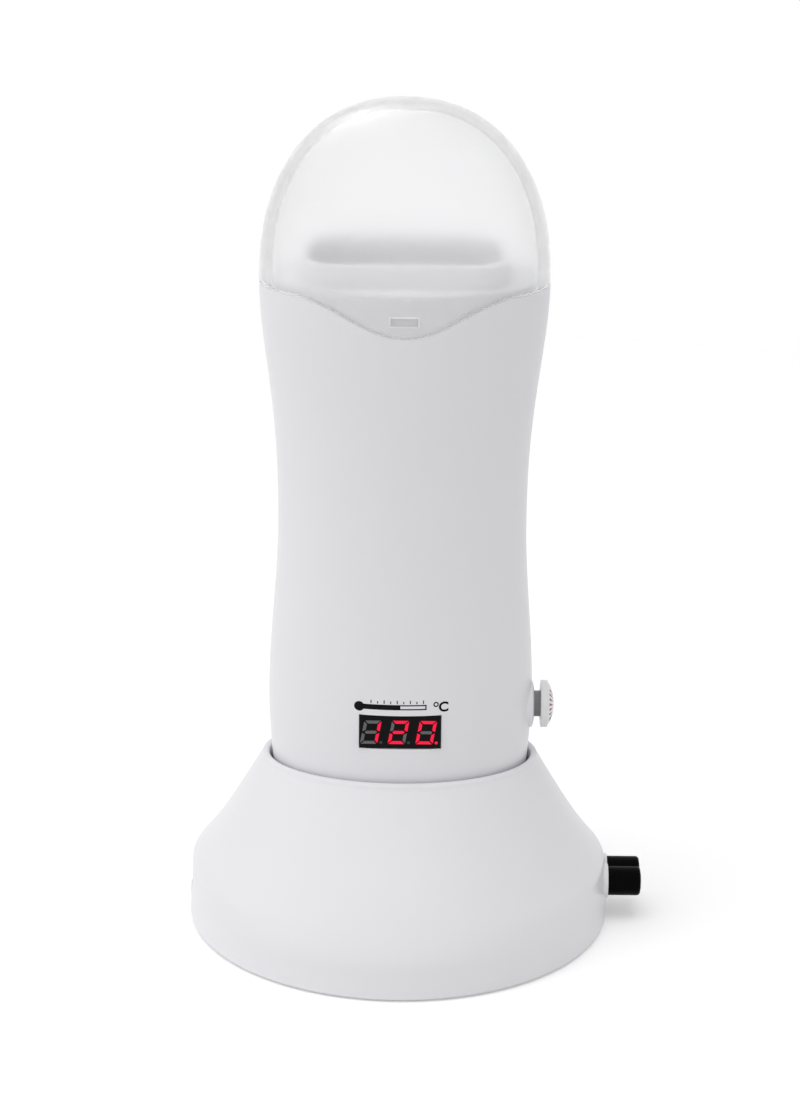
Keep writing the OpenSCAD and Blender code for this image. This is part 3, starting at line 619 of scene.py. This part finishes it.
FINISHES = {
    "housing_white": plastic("glossy white", (0.85, 0.845, 0.875), 0.36, coat=0.12),
    "plate_white": plastic("grained white", (0.78, 0.78, 0.79), 0.55, grain=0.6),
    "cap_frosted": translucent("etched cap inside", 0.5, 0.5, 0.12, 1.3),
    "collar_grey": plastic("satin light grey", (0.75, 0.75, 0.77), 0.45, grain=0.2),
    "connector_black": plastic("glossy black", (0.0015, 0.0015, 0.0018), 0.28, shift=0.3, shine=0.03),
    "contact_steel": metal("nickel", (0.74, 0.73, 0.71), 0.16),
    "contact_brass": metal("brass", (0.80, 0.62, 0.30), 0.2),
    "spring_steel": metal("spring wire", (0.60, 0.60, 0.61), 0.28),
    "screw_steel": metal("zinc plate", (0.62, 0.63, 0.65), 0.3),
    "foot_rubber": plastic("dark rubber", (0.035, 0.035, 0.037), 0.75, grain=1.0, grain_scale=1400,
                           shift=0.25),
    "chamber_aluminium": plastic("anodised aluminium", (0.86, 0.86, 0.875), 0.42, grain=0.2),
    "heater_ceramic": plastic("dark ceramic", (0.09, 0.09, 0.10), 0.6, grain=0.8, shift=0.2),
    "fuse_case": plastic("pale ceramic", (0.58, 0.55, 0.46), 0.5, grain=0.4, shift=0.08),
    "board_green": plastic("board lacquer", (0.012, 0.10, 0.045), 0.32, coat=0.3, shift=0.25),
    "component_dark": plastic("dark resin", (0.025, 0.025, 0.028), 0.5, grain=0.5, shift=0.2),
    "display_face": plastic("dark display resin", (0.005, 0.0045, 0.005), 0.28, shift=0.25, shine=0.08),
    "segment_red": lamp("lit segment", (0.90, 0.012, 0.055), 1.0),
    "segment_grey": plastic("unlit segment", (0.12, 0.12, 0.12), 0.5, shift=0.1, printed=dark_points),
    "pot_body": plastic("potentiometer case", (0.05, 0.06, 0.08), 0.5, grain=0.3, shift=0.2),
    "dial_grey": plastic("satin grey", (0.25, 0.245, 0.25), 0.4, grain=0.2, shift=0.05),
    "knob_white": plastic("knob white", (0.84, 0.84, 0.855), 0.3, coat=0.2, printed=dial_marks),
}
CAP_OUTSIDE = translucent("polished cap outside", 0.13, 0.1, 0.0, 1.2, coat=0.5)
# The neck's tone, darker than the housing's, is painted shade: it stands for the light that the cap's etched
# wall takes from the neck, since the cap casts no shadow.
NECK_SATIN_PAINTED_SHADE = plastic("satin neck with painted shade", (0.70, 0.70, 0.72), 0.5, grain=0.3)


def dress_nodes():
    """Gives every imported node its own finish."""
    for row in frame["record"]["subparts"]:
        node = frame["nodes"][row["node"]]
        node.data.materials.clear()
        node.data.materials.append(FINISHES[row["material_slot"]])


# ---------- handset ----------


def seam_tool(lift, name="seam_tool"):
    """Everything above the cap seam, lifted by a gap: a sheet with a shaped lower edge, pulled along Y."""
    columns = 120
    tool = start(name, bpy.ops.mesh.primitive_grid_add, x_subdivisions=columns, y_subdivisions=1, size=BIG,
                 rotation=(math.pi / 2, 0, 0), location=(0, BIG / 2, SEAM_Z + lift + BIG / 2))
    edit(tool)
    for x in steps(-BIG / 2, BIG / 2, columns):
        drop = seam_at(x) - SEAM_Z
        if drop < 0:
            choose("VERT", lambda v: abs(v.co.x - x) < 0.01 * MM and v.co.z < SEAM_Z + lift + 1 * MM)
            bpy.ops.transform.translate(value=(0, 0, drop))
    bpy.ops.mesh.select_mode(type="FACE")
    bpy.ops.mesh.select_all(action="SELECT")
    bpy.ops.mesh.extrude_region_move(TRANSFORM_OT_translate={"value": (0, -BIG, 0)})
    outwards()
    close()
    return tool


def handset_wall():
    """The handset's wall up to the seam: a closed band with a round foot and a fine step in its edge."""
    foot = [(FOOT_R - FOOT_ROUND + FOOT_ROUND * math.sin(a), FOOT_Z + FOOT_ROUND * (1 - math.cos(a)))
            for a in steps(0, math.pi / 2, 8)]
    outside = [(body_r(z), z) for z in steps(FOOT_Z + FOOT_ROUND + 2 * MM, SEAM_Z, 72)]
    inside = [(min(body_r(z) - SHELL_WALL, NECK_R - OVERLAP), z) for z in steps(SEAM_Z, FOOT_Z + 6 * MM, 20)]
    seat = FOOT_Z + 1.8 * MM
    bottom = [(FOOT_R - SHELL_WALL, seat), (foot[0][0], seat)]
    wall = turned("wall", [*foot, *outside, *inside, *bottom], loop=True)
    carve(wall, seam_tool(0))
    rebate = seam_tool(-EDGE_DROP, "rebate")
    core = [(body_r(z) - EDGE_STEP, z) for z in steps(NECK_ROOT_Z, SEAM_Z + 20 * MM, 36)]
    carve(rebate, turned("core", core))
    carve(wall, rebate)
    return wall


def neck():
    """The neck that the cap slides over."""
    inside, seam_low = NECK_R - NECK_WALL, SEAM_Z - TONGUE_DEPTH
    root = [(inside, NECK_ROOT_Z), (body_r(NECK_ROOT_Z) - SHELL_WALL + OVERLAP, NECK_ROOT_Z)]
    outside = [(NECK_R, z) for z in (seam_low - 1 * MM, *steps(seam_low, DECK_Z - NECK_ROUND, 6))]
    edge = [(NECK_R - NECK_ROUND * (1 - math.cos(a)), DECK_Z - NECK_ROUND * (1 - math.sin(a)))
            for a in steps(math.pi / 8, math.pi / 2, 3)]
    return turned("neck", [*root, *outside, *edge, (inside, DECK_Z)], loop=True)


def on_neck(place):
    """Whether a place lies on the neck's outside or edge, above the seam."""
    reach = math.hypot(place.x, place.y / DEPTH)
    above = place.z > seam_at(place.x) - 0.1 * MM
    return above and NECK_R - NECK_WALL + 0.1 * MM < reach < NECK_R + 0.04 * MM


def dial_boss():
    """The low round boss on the handset's side, with a soft edge."""
    rise, soft = 0.8 * MM, 2.9 * MM
    flat = BOSS_R - soft
    outline = [(BOSS_R, -8 * MM), (BOSS_R, -rise)]
    outline += [(flat + soft * math.cos(a), rise * (math.sin(a) - 1))
                for a in steps(math.pi / 20, math.pi / 2, 9)]
    return laid(turned("dial_boss", outline, 96, 1), (0, math.pi / 2, 0), (BOSS_X, 0, DIAL_Z))


def towers():
    """The screw towers, which cross the handset from wall to wall inside its skin."""
    rods = joined("towers", [rod("tower", "Y", (x, -BIG, z), (x, BIG, z), TOWER_R, 48) for x, z in TOWERS])
    space = [(body_r(z) - 0.5 * MM, z) for z in steps(FOOT_Z + 5 * MM, SEAM_Z - 2 * MM, 40)]
    carve(rods, turned("skin_space", space), "INTERSECT")
    return rods


def catch(body):
    """The slot in the neck that the cap clicks into, with its raised outline and three small pips."""
    width, height, border = 7.3 * MM, 2.2 * MM, 0.45 * MM
    proud, sunk = 0.2 * MM, 0.6 * MM
    middle = SEAM_Z - 5.2 * MM
    front = -NECK_R * DEPTH
    side, low, high = width / 2, middle - height / 2, middle + height / 2
    outline = block("outline", (-side - border, front - proud, low - border),
                    (side + border, front + 1.2 * MM, high + border))
    bevel(outline, lambda e: runs_along(e, 1), 0.5 * MM, 4)
    bevel(outline, lambda e: lies_at(e, 1, front - proud), 0.12 * MM, 2)
    carve(body, outline, "UNION")
    carve(body, block("slot", (-side, -BIG, low), (side, front + sunk, high)))
    pip_r, pip_sink = 0.55 * MM, 0.28 * MM
    for x, drop in ((-13 * MM, 1.3 * MM), (-8.2 * MM, 2.1 * MM), (1.5 * MM, 1.2 * MM)):
        y = -DEPTH * math.sqrt(NECK_R**2 - x**2)
        pip = start("pip", bpy.ops.mesh.primitive_uv_sphere_add, segments=24, ring_count=12, radius=pip_r,
                    location=(x, y + pip_sink, DECK_Z - drop))
        carve(body, pip, "UNION")


def dome(r, height, count):
    """The outline of a dome over the seam, from its widest point to just beside its pole."""
    power = 2 / DOME_POWER
    return [(r * math.cos(a) ** power, SEAM_Z + height * math.sin(a) ** power)
            for a in steps(0, math.pi / 2 * CROWN_END, count)]


def cap():
    """The frosted cap: two nested domes cut along the seam, etched inside and polished outside."""
    low = SEAM_Z - TONGUE_DEPTH - 1 * MM
    height = TOP_Z - SEAM_Z
    skirt = [(body_r(z), z) for z in steps(low, SEAM_Z, 8)][:-1]
    shell = turned("frosted_cap", skirt + dome(BROW_R, height, 56))
    inside = dome(BROW_R - CAP_WALL, height - CAP_WALL, 44)
    carve(shell, turned("cap_hollow", [(BROW_R - CAP_WALL, low - 5 * MM), *inside]))
    carve(shell, seam_tool(SEAM_GAP), "INTERSECT")
    shell.visible_shadow = False
    finish(shell, "cap", "cap_frosted", "cap_dome")
    middle_r, middle_h = BROW_R - CAP_WALL / 2, height - CAP_WALL / 2

    def outside(face):
        x, y, z = face.calc_center_median()
        reach = (math.hypot(x, y / DEPTH) / middle_r) ** DOME_POWER
        return reach + max(0, (z - SEAM_Z) / middle_h) ** DOME_POWER > 1 and face.normal.z > -0.5

    second(shell, CAP_OUTSIDE, outside)


# ---------- stand ----------


def stand():
    """The stand's skin: skirt, soft shoulder, flare, rolled rim, well, and the same again inside."""
    rim_a = body_r(RIM_Z) + RIM_OUT
    rim_b = body_r(RIM_Z) * DEPTH + RIM_OUT_FRONT
    well_a, well_b = body_r(RIM_Z) + WELL_GAP, (body_r(RIM_Z) + WELL_GAP) * DEPTH

    def outside(z, wall=0.0):
        return stand_half(z, rim_a, SOFT_SIDE) - wall, stand_half(z, rim_b, SOFT_FRONT) - wall, z

    def drawn(ring, share, rise):
        a, b, z = ring
        return a - (a - well_a) * share, b - (b - well_b) * share, z + rise

    def well(z, wall=0.0):
        r = body_r(max(z, FOOT_Z)) + WELL_GAP + wall
        return r, r * DEPTH, z

    foot = outside(STAND_FOOT_Z)
    skin = [(foot[0] - STAND_WALL, foot[1] - STAND_WALL, STAND_FOOT_Z),
            (foot[0] - 0.5 * MM, foot[1] - 0.5 * MM, STAND_FOOT_Z)]
    skin += [outside(z) for z in steps(STAND_FOOT_Z + 0.5 * MM, RIM_Z - RIM_ROUND, 64)]
    edge = skin[-1]
    skin += [drawn(edge, 0.5 * (1 - math.cos(a)), RIM_ROUND * math.sin(a))
             for a in steps(math.pi / 10, math.pi / 2, 4)]
    crest = skin[-1]
    skin += [drawn(crest, math.sin(a), -RIM_ROUND_IN * (1 - math.cos(a)))
             for a in steps(math.pi / 8, math.pi / 2, 4)]
    skin += [well(z) for z in steps(RIM_Z - 3 * MM, WELL_FLOOR_Z + 1.5 * MM, 16)]
    floor_r, centre_r = body_r(FOOT_Z) + WELL_GAP, 0.5 * MM
    skin += [(floor_r - 1.5 * MM, floor_r * DEPTH - 1.5 * MM, WELL_FLOOR_Z),
             (centre_r, centre_r * DEPTH, WELL_FLOOR_Z),
             (centre_r, centre_r * DEPTH, WELL_FLOOR_Z - WELL_FLOOR_T)]
    skin += [well(z, WELL_WALL) for z in steps(WELL_FLOOR_Z - WELL_FLOOR_T, RIM_Z - 8 * MM, 8)]
    skin += [outside(z, STAND_WALL) for z in steps(RIM_Z - 8.5 * MM, STAND_FOOT_Z + 1 * MM, 20)]
    piece = stacked("stand_shell", skin, loop=True)
    dress_stand(piece)
    finish(piece, "stand", "housing_white", "base_shell")


def shells():
    """Front and rear handset shells, parted in the middle by a fine line. Gives the front one."""
    body = handset_wall()
    for part in (neck(), dial_boss(), towers()):
        carve(body, part, "UNION")
    hole_r = SHAFT_R + SHAFT_PLAY
    carve(body, rod("shaft_hole", "X", (HIP_R - 9 * MM, 0, DIAL_Z), (BIG, 0, DIAL_Z), hole_r, 96))
    rear = copy(body, "handset_rear_shell")
    body.name = body.data.name = "handset_front_shell"
    half(body, -1, 0.03 * MM)
    half(rear, 1, 0.03 * MM)
    gap = 0.1 * MM
    carve(body, block("window", (module_low.x - gap, -BIG, module_low.z - gap),
                      (module_high.x + gap, module_low.y + 6 * MM, module_high.z + gap)))
    catch(body)
    for name, low, high, r, sides in (("wells", SEAT_Y, BIG, SCREW_WELL_R, 64),
                                      ("holes", -1 * MM, SEAT_Y + 1 * MM, SCREW_R + 0.1 * MM, 32)):
        carve(rear, joined(name, [rod("rod", "Y", (x, low, z), (x, high, z), r, sides) for x, z in TOWERS]))
    for piece, node in ((body, "front_shell"), (rear, "rear_shell")):
        finish(piece, "handset", "housing_white", node)
        # The neck's faces get a satin finish whose darker tone is painted shade.
        second(piece, NECK_SATIN_PAINTED_SHADE, lambda f: on_neck(f.calc_center_median()))
    return body


def screws(node, body, places, turn, head_r, length):
    """Pan-head screws with cross recesses, made once and copied to their places."""
    shank_r, point_r, point = SCREW_R - 0.05 * MM, 0.3 * MM, 1 * MM
    outline = [(point_r, -length), (shank_r, point - length), (shank_r, 0), (head_r, 0),
               (head_r, HEAD_T * 0.4), (head_r * 0.94, HEAD_T * 0.7), (head_r * 0.8, HEAD_T * 0.9),
               (head_r * 0.55, HEAD_T)]
    model = turned("screw", outline, 40, 1)
    arm, width = head_r * 0.6, head_r * 0.11
    for x, y in ((arm, width), (width, arm)):
        carve(model, block("cross", (-x, -y, HEAD_T * 0.45), (x, y, HEAD_T * 2)))
    copies = [laid(copy(model, "screw_copy"), turn, place) for place in places]
    bpy.data.objects.remove(model)
    finish(joined(node + "_crossed", copies), body, "screw_steel", node)


def shell_screws():
    """The four screws in the handset's back."""
    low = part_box("shell_screws")[0]
    screws("shell_screws", "handset", [(x, SEAT_Y, z) for x, z in TOWERS], (-math.pi / 2, 0, 0),
           SHELL_HEAD_R, SEAT_Y - low.y)


def base_screws():
    """The four screws under the stand."""
    low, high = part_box("base_screws")
    places = [(sx * (high.x - BASE_HEAD_R), sy * (high.y - BASE_HEAD_R), low.z + HEAD_T)
              for sx in (-1, 1) for sy in (-1, 1)]
    screws("base_screws", "stand", places, (math.pi, 0, 0), BASE_HEAD_R, high.z - low.z - HEAD_T)


def display():
    """The display's black block, with a rounded front edge, and its two rows of pins."""
    pin_step, pin_r = 2.54 * MM, 0.25 * MM
    face = module_low.y
    piece = block("display_block", module_low, (module_high.x, face + MODULE_T, module_high.z))
    bevel(piece, lambda e: lies_at(e, 1, face), 0.45 * MM, 4)
    pins = [rod("pin", "Y", (i * pin_step, face + 5 * MM, z), (i * pin_step, module_high.y, z), pin_r, 12)
            for i in (-2.5, -1.5, -0.5, 0.5, 1.5, 2.5)
            for z in (module_low.z + 1 * MM, module_high.z - 1 * MM)]
    finish(joined("display_block", [piece, *pins]), "handset", "display_face", "display_module")


def plate(corners, low, high):
    """A flat plate between two depths, with its corners (x, z) drawn to their places."""
    piece = start("plate", bpy.ops.mesh.primitive_circle_add, vertices=len(corners), radius=BIG,
                  fill_type="NGON", location=(0, low, 0), rotation=(math.pi / 2, 0, 0))
    places = [v.co.copy() for v in piece.data.vertices]
    edit(piece)
    for i, (x, z) in enumerate(corners):
        choose("VERT", lambda v: v.index == i)
        bpy.ops.transform.translate(value=(x - places[i].x, 0, z - places[i].z))
    bpy.ops.mesh.select_all(action="SELECT")
    bpy.ops.mesh.extrude_region_move(TRANSFORM_OT_translate={"value": (0, high - low, 0)})
    outwards()
    close()
    return piece


def digits(lit, slot, node):
    """The strokes of the three digits that are lit or not, mitred and a little apart, with their points."""
    low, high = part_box(node)
    middle = (low.z + high.z) / 2
    w, h, s, gap = DIGIT_W / 2, POINT_FALL, STROKE / 2, STROKE_GAP
    top = [(s + gap - w, h - s), (gap - w - s, h + s), (w + s - gap, h + s), (w - s - gap, h - s)]
    side = [(w + s, gap), (w + s, h + s - gap), (w - s, h - s - gap), (w - s, s + gap)]
    bar = [(gap - w, 0), (s + gap - w, s), (w - s - gap, s),
           (w - gap, 0), (w - s - gap, -s), (s + gap - w, -s)]
    strokes = [(top, 1, 1), (side, 1, 1), (side, 1, -1), (top, 1, -1), (side, -1, -1), (side, -1, 1),
               (bar, 1, 1)]
    pieces = []
    for digit, shown in enumerate(LIT):
        shift = (digit - 1) * DIGIT_PITCH - s
        for i, (corners, flip_x, flip_z) in enumerate(strokes):
            if (i in shown) == lit:
                pieces.append(plate([(shift + x * flip_x + z * flip_z * SLANT, middle + z * flip_z)
                                     for x, z in corners], low.y, high.y))
        if (digit == 2) == lit:
            x = shift + s + POINT_X
            pieces.append(rod("point", "Y", (x, low.y, middle - h), (x, high.y, middle - h), s, 32))
    finish(joined(node + "_mitred", pieces), "handset", slot, node)


def bar(x0, x1, z0, z1):
    """A flat printed bar in front of the handset, cut across each millimetre so that it can bend."""
    return start("bar", bpy.ops.mesh.primitive_grid_add, x_subdivisions=max(1, round((x1 - x0) / MM)),
                 y_subdivisions=1, size=1, location=((x0 + x1) / 2, -BIG / 2, (z0 + z1) / 2),
                 rotation=(math.pi / 2, 0, 0), stretch=(x1 - x0, z1 - z0, 1))


def disc(x, z, outer, inner=0.0):
    """A flat printed disc or ring in front of the handset."""
    piece = start("disc", bpy.ops.mesh.primitive_circle_add, vertices=48, radius=outer, fill_type="NGON",
                  location=(x, -BIG / 2, z), rotation=(math.pi / 2, 0, 0))
    if inner:
        edit(piece)
        bpy.ops.mesh.inset(thickness=outer - inner)
        bpy.ops.mesh.delete(type="FACE")
        close()
    return piece


def letter(text, size, x, z):
    """A flat printed letter in front of the handset."""
    bpy.ops.object.select_all(action="DESELECT")
    bpy.ops.object.text_add()
    piece = bpy.context.object
    piece.data.body = text
    piece.data.size = size
    piece.data.offset = 0.12 * MM
    bpy.ops.object.convert(target="MESH")
    return laid(bpy.context.object, (math.pi / 2, 0, 0), (x, -BIG / 2, z))


def label(shell):
    """A lying thermometer with its scale and the degree sign, printed over the display."""
    middle = module_high.z + 2.6 * MM
    line, tube_r, fluid_r, bulb_r = 0.34 * MM, 0.75 * MM, 0.72 * MM, 1.4 * MM
    tube_low, tube_high, fluid_high, bulb = -10.8 * MM, 7.2 * MM, 0, -11.3 * MM
    ring_r, ring_hole, ring_x, letter_x = 0.75 * MM, 0.4 * MM, 9.8 * MM, 10.5 * MM
    pieces = [disc(bulb, middle, bulb_r), disc(ring_x, middle + ring_r, ring_r, ring_hole)]
    for z in (middle - tube_r, middle + tube_r - line):
        pieces.append(bar(tube_low, tube_high, z, z + line))
    pieces.append(bar(tube_high - line, tube_high, middle - tube_r, middle + tube_r))
    pieces.append(bar(tube_low, fluid_high, middle - fluid_r, middle + fluid_r))
    for i in range(9):
        x, high = -8.2 * MM + i * 1.8 * MM, (1.75 if i % 2 else 2.05) * MM
        pieces.append(bar(x, x + line * 0.8, middle + 1.05 * MM, middle + high))
    pieces.append(letter("C", 3.9 * MM, letter_x, middle - 1.35 * MM))
    piece = joined("temperature_label", pieces)
    edit(piece)
    bpy.ops.mesh.quads_convert_to_tris()
    close()
    apply(piece, "SHRINKWRAP", target=shell, wrap_method="PROJECT", use_project_y=True,
          use_negative_direction=False, use_positive_direction=True, offset=0.02 * MM)
    apply(piece, "SOLIDIFY", thickness=0.015 * MM, offset=0)
    finish(piece, "handset", "display_face")


def knob():
    """The dial's knob: a chamfered rim with a pointer rib, and a domed face."""
    r, rim_t, brow = KNOB_R - 0.12 * MM, 1.85 * MM, 0.35 * MM
    ball = r * 0.9
    outline = [(SHAFT_R + 0.3 * MM, 0.6 * MM), (SHAFT_R + 0.6 * MM, 0), (r - 0.6 * MM, 0),
               (r - 0.1 * MM, 0.12 * MM), (r, 0.3 * MM), (r, rim_t)]
    outline += [(ball + (r - ball) * math.cos(a), rim_t + brow * math.sin(a))
                for a in steps(math.pi / 8, math.pi / 2, 3)]
    outline += [(ball * math.cos(a), rim_t + brow + (KNOB_T - rim_t - brow) * math.sin(a) ** 1.6)
                for a in steps(0.2, math.pi / 2 * 0.985, 16)]
    piece = turned("knob", outline, 96, 1)
    rib_w = 0.28 * MM
    rib = block("rib", (-rib_w, r - 1 * MM, 0.35 * MM), (rib_w, KNOB_R, rim_t - 0.05 * MM))
    bevel(rib, lambda e: all(v.co.y > r for v in e.verts), 0.1 * MM, 3)
    carve(piece, rib, "UNION")
    laid(piece, (0, 0, math.pi + POINTER_TURN), (0, 0, 0))
    laid(piece, (0, math.pi / 2, 0), (KNOB_BACK, 0, DIAL_Z))
    finish(piece, "dial", "knob_white", "dial_knob")


def collar():
    """The deck in the neck and the collar round the cartridge mouth, with a rounded lip."""
    low, lip = collar_low.z, collar_high.z
    deck_r, deck_edge = collar_high.x, 0.2 * MM
    around, pocket = 2 * (CHAMBER_WALL + COLLAR_WALL), 2 * CHAMBER_WALL + 0.2 * MM
    deck = [(deck_r, low), (deck_r, DECK_Z - deck_edge), (deck_r - deck_edge, DECK_Z)]
    piece = turned("deck_and_collar", deck)
    corner = BORE_CORNER + CHAMBER_WALL + COLLAR_WALL
    tube = upright("tube", BORE_W + around, BORE_D + around, corner, low, lip)
    bevel(tube, lambda e: lies_at(e, 2, lip), 0.6 * MM, 4)
    carve(piece, tube, "UNION")
    carve(piece, upright("pocket", BORE_W + pocket, BORE_D + pocket, BORE_CORNER + pocket / 2,
                         low - 5 * MM, chamber_high.z))
    carve(piece, upright("mouth", BORE_W, BORE_D, BORE_CORNER, low, lip + 5 * MM))
    bevel(piece, lambda e: lies_at(e, 2, lip) and e.calc_face_angle(0) > math.radians(60), 0.35 * MM, 3)
    finish(piece, "handset", "collar_grey", "mouth_collar")


# ---------- connectors ----------


def lobes(name, r, x0, x1, edge, nose=0.0):
    """The two round bars of a figure-eight along X, with a rounded outer edge and a flat or conical end."""
    length = x1 - x0
    outline = [(r, 0), (r, length - nose - edge)]
    outline += [(r - edge * (1 - math.cos(a)), length - nose - edge + edge * math.sin(a))
                for a in steps(math.pi / 12, math.pi / 2, 5)]
    if nose:
        outline += [(r * 0.5, length - nose * 0.3), (r * 0.05, length)]
    return [laid(turned(name, outline, 96, 1), (0, math.pi / 2, 0), (x0, y, LINK_Z))
            for y in (-LOBE_PITCH / 2, LOBE_PITCH / 2)]


def link_plug():
    """The figure-eight plug: two rounded lobes with a sleeve hole each, on a block inside the stand."""
    root = link_low.x + LINK_BLOCK
    piece = block("figure_eight_plug", link_low, (root, link_high.y, link_high.z))
    bevel(piece, lambda e: True, 0.4 * MM, 3)
    for lobe in lobes("lobe", LOBE_R, root - 1 * MM, LINK_END, 1 * MM, 0.25 * MM):
        carve(piece, lobe, "UNION")
    for y in (-PIN_PITCH / 2, PIN_PITCH / 2):
        carve(piece, rod("bore", "X", (link_low.x - 1 * MM, y, LINK_Z), (BIG, y, LINK_Z), SLEEVE_R, 48))
    finish(piece, "stand", "connector_black", "link_plug", angle=40)


def dress_stand(piece):
    """Adds the link plug's pad to the stand's skin, and cuts the connector and plunger holes."""
    for lobe in lobes("pad", LOBE_R + PAD_BORDER, PAD_ROOT_X, PAD_X, 0.3 * MM):
        carve(piece, lobe, "UNION")
    hole_r, hole_x = LOBE_R + LINK_GAP, PAD_ROOT_X - 3 * MM
    for side in (-1, 1):
        for y in (-LOBE_PITCH / 2, LOBE_PITCH / 2):
            carve(piece, rod("hole", "X", (side * hole_x, y, LINK_Z), (side * BIG, y, LINK_Z), hole_r, 96))
        x = side * DOCK_PITCH / 2
        carve(piece, rod("plunger_hole", "Z", (x, 0, WELL_FLOOR_Z - 5 * MM), (x, 0, WELL_FLOOR_Z + 5 * MM),
                         PLUNGER_HOLE_R, 48))


# ---------- stage ----------

WORLD_LIGHT = 0.57       # the surround's strength as light, where 1 is what the camera sees
FLOOR_R = 0.6            # in metres
FLOOR_GLOW = 0.24        # lifts the lit floor to white where the camera sees it


def add_floor():
    """A plain round of white floor that keeps the soft shadow, with the white surround beyond its edge."""
    floor = start("floor", bpy.ops.mesh.primitive_circle_add, vertices=128, radius=FLOOR_R, fill_type="NGON")
    shader = new_finish("floor white")
    shader.set(Base_Color=rgba(0.95, 0.95, 0.95), Roughness=0.9, Emission_Color=rgba(1, 1, 1),
               Emission_Strength=shader.seen() * FLOOR_GLOW)
    floor.data.materials.append(shader.owner)


def add_world():
    """A white surround: as seen by the camera, glass and gloss, and a softer level as light."""
    world = bpy.context.scene.world = bpy.data.worlds.new("surround")
    shader = Shader(world, "Background")
    shader.set(Color=rgba(1, 1, 1), Strength=shader.seen() * (1 - WORLD_LIGHT) + WORLD_LIGHT)


def add_lamp(name, place, aim, size, power, gleam=False):
    """A soft box that lights but does not show, or with gleam one that only shows as a highlight."""
    data = bpy.data.lights.new(name, "AREA")
    data.shape = "RECTANGLE"
    data.size, data.size_y = size
    data.energy = power
    lamp_object = bpy.data.objects.new(name, data)
    lamp_object.visible_glossy = gleam
    lamp_object.visible_diffuse = not gleam
    lamp_object.visible_transmission = False
    lamp_object.matrix_world = looking(Vector(place), Vector(aim))
    bpy.context.scene.collection.objects.link(lamp_object)


# ---------- making ----------

bpy.context.scene.view_settings.view_transform = "Standard"
add_camera()
dress_nodes()
label(shells())
display()
digits(True, "segment_red", "segments_lit")
digits(False, "segment_grey", "segments_unlit")
knob()
collar()
cap()
stand()
link_plug()
shell_screws()
base_screws()
add_floor()
add_world()
add_lamp("left soft box", (-1.5, -0.35, 0.9), (0, 0, 0.12), (1.3, 1.6), 6.9)
add_lamp("top soft box", (-0.1, -0.3, 1.6), (0, 0, 0.1), (1.3, 1.0), 7.0)
add_lamp("back lamp", (-0.47, 0.78, 1.28), (0, 0, 0.2), (0.12, 0.12), 1.3, gleam=True)
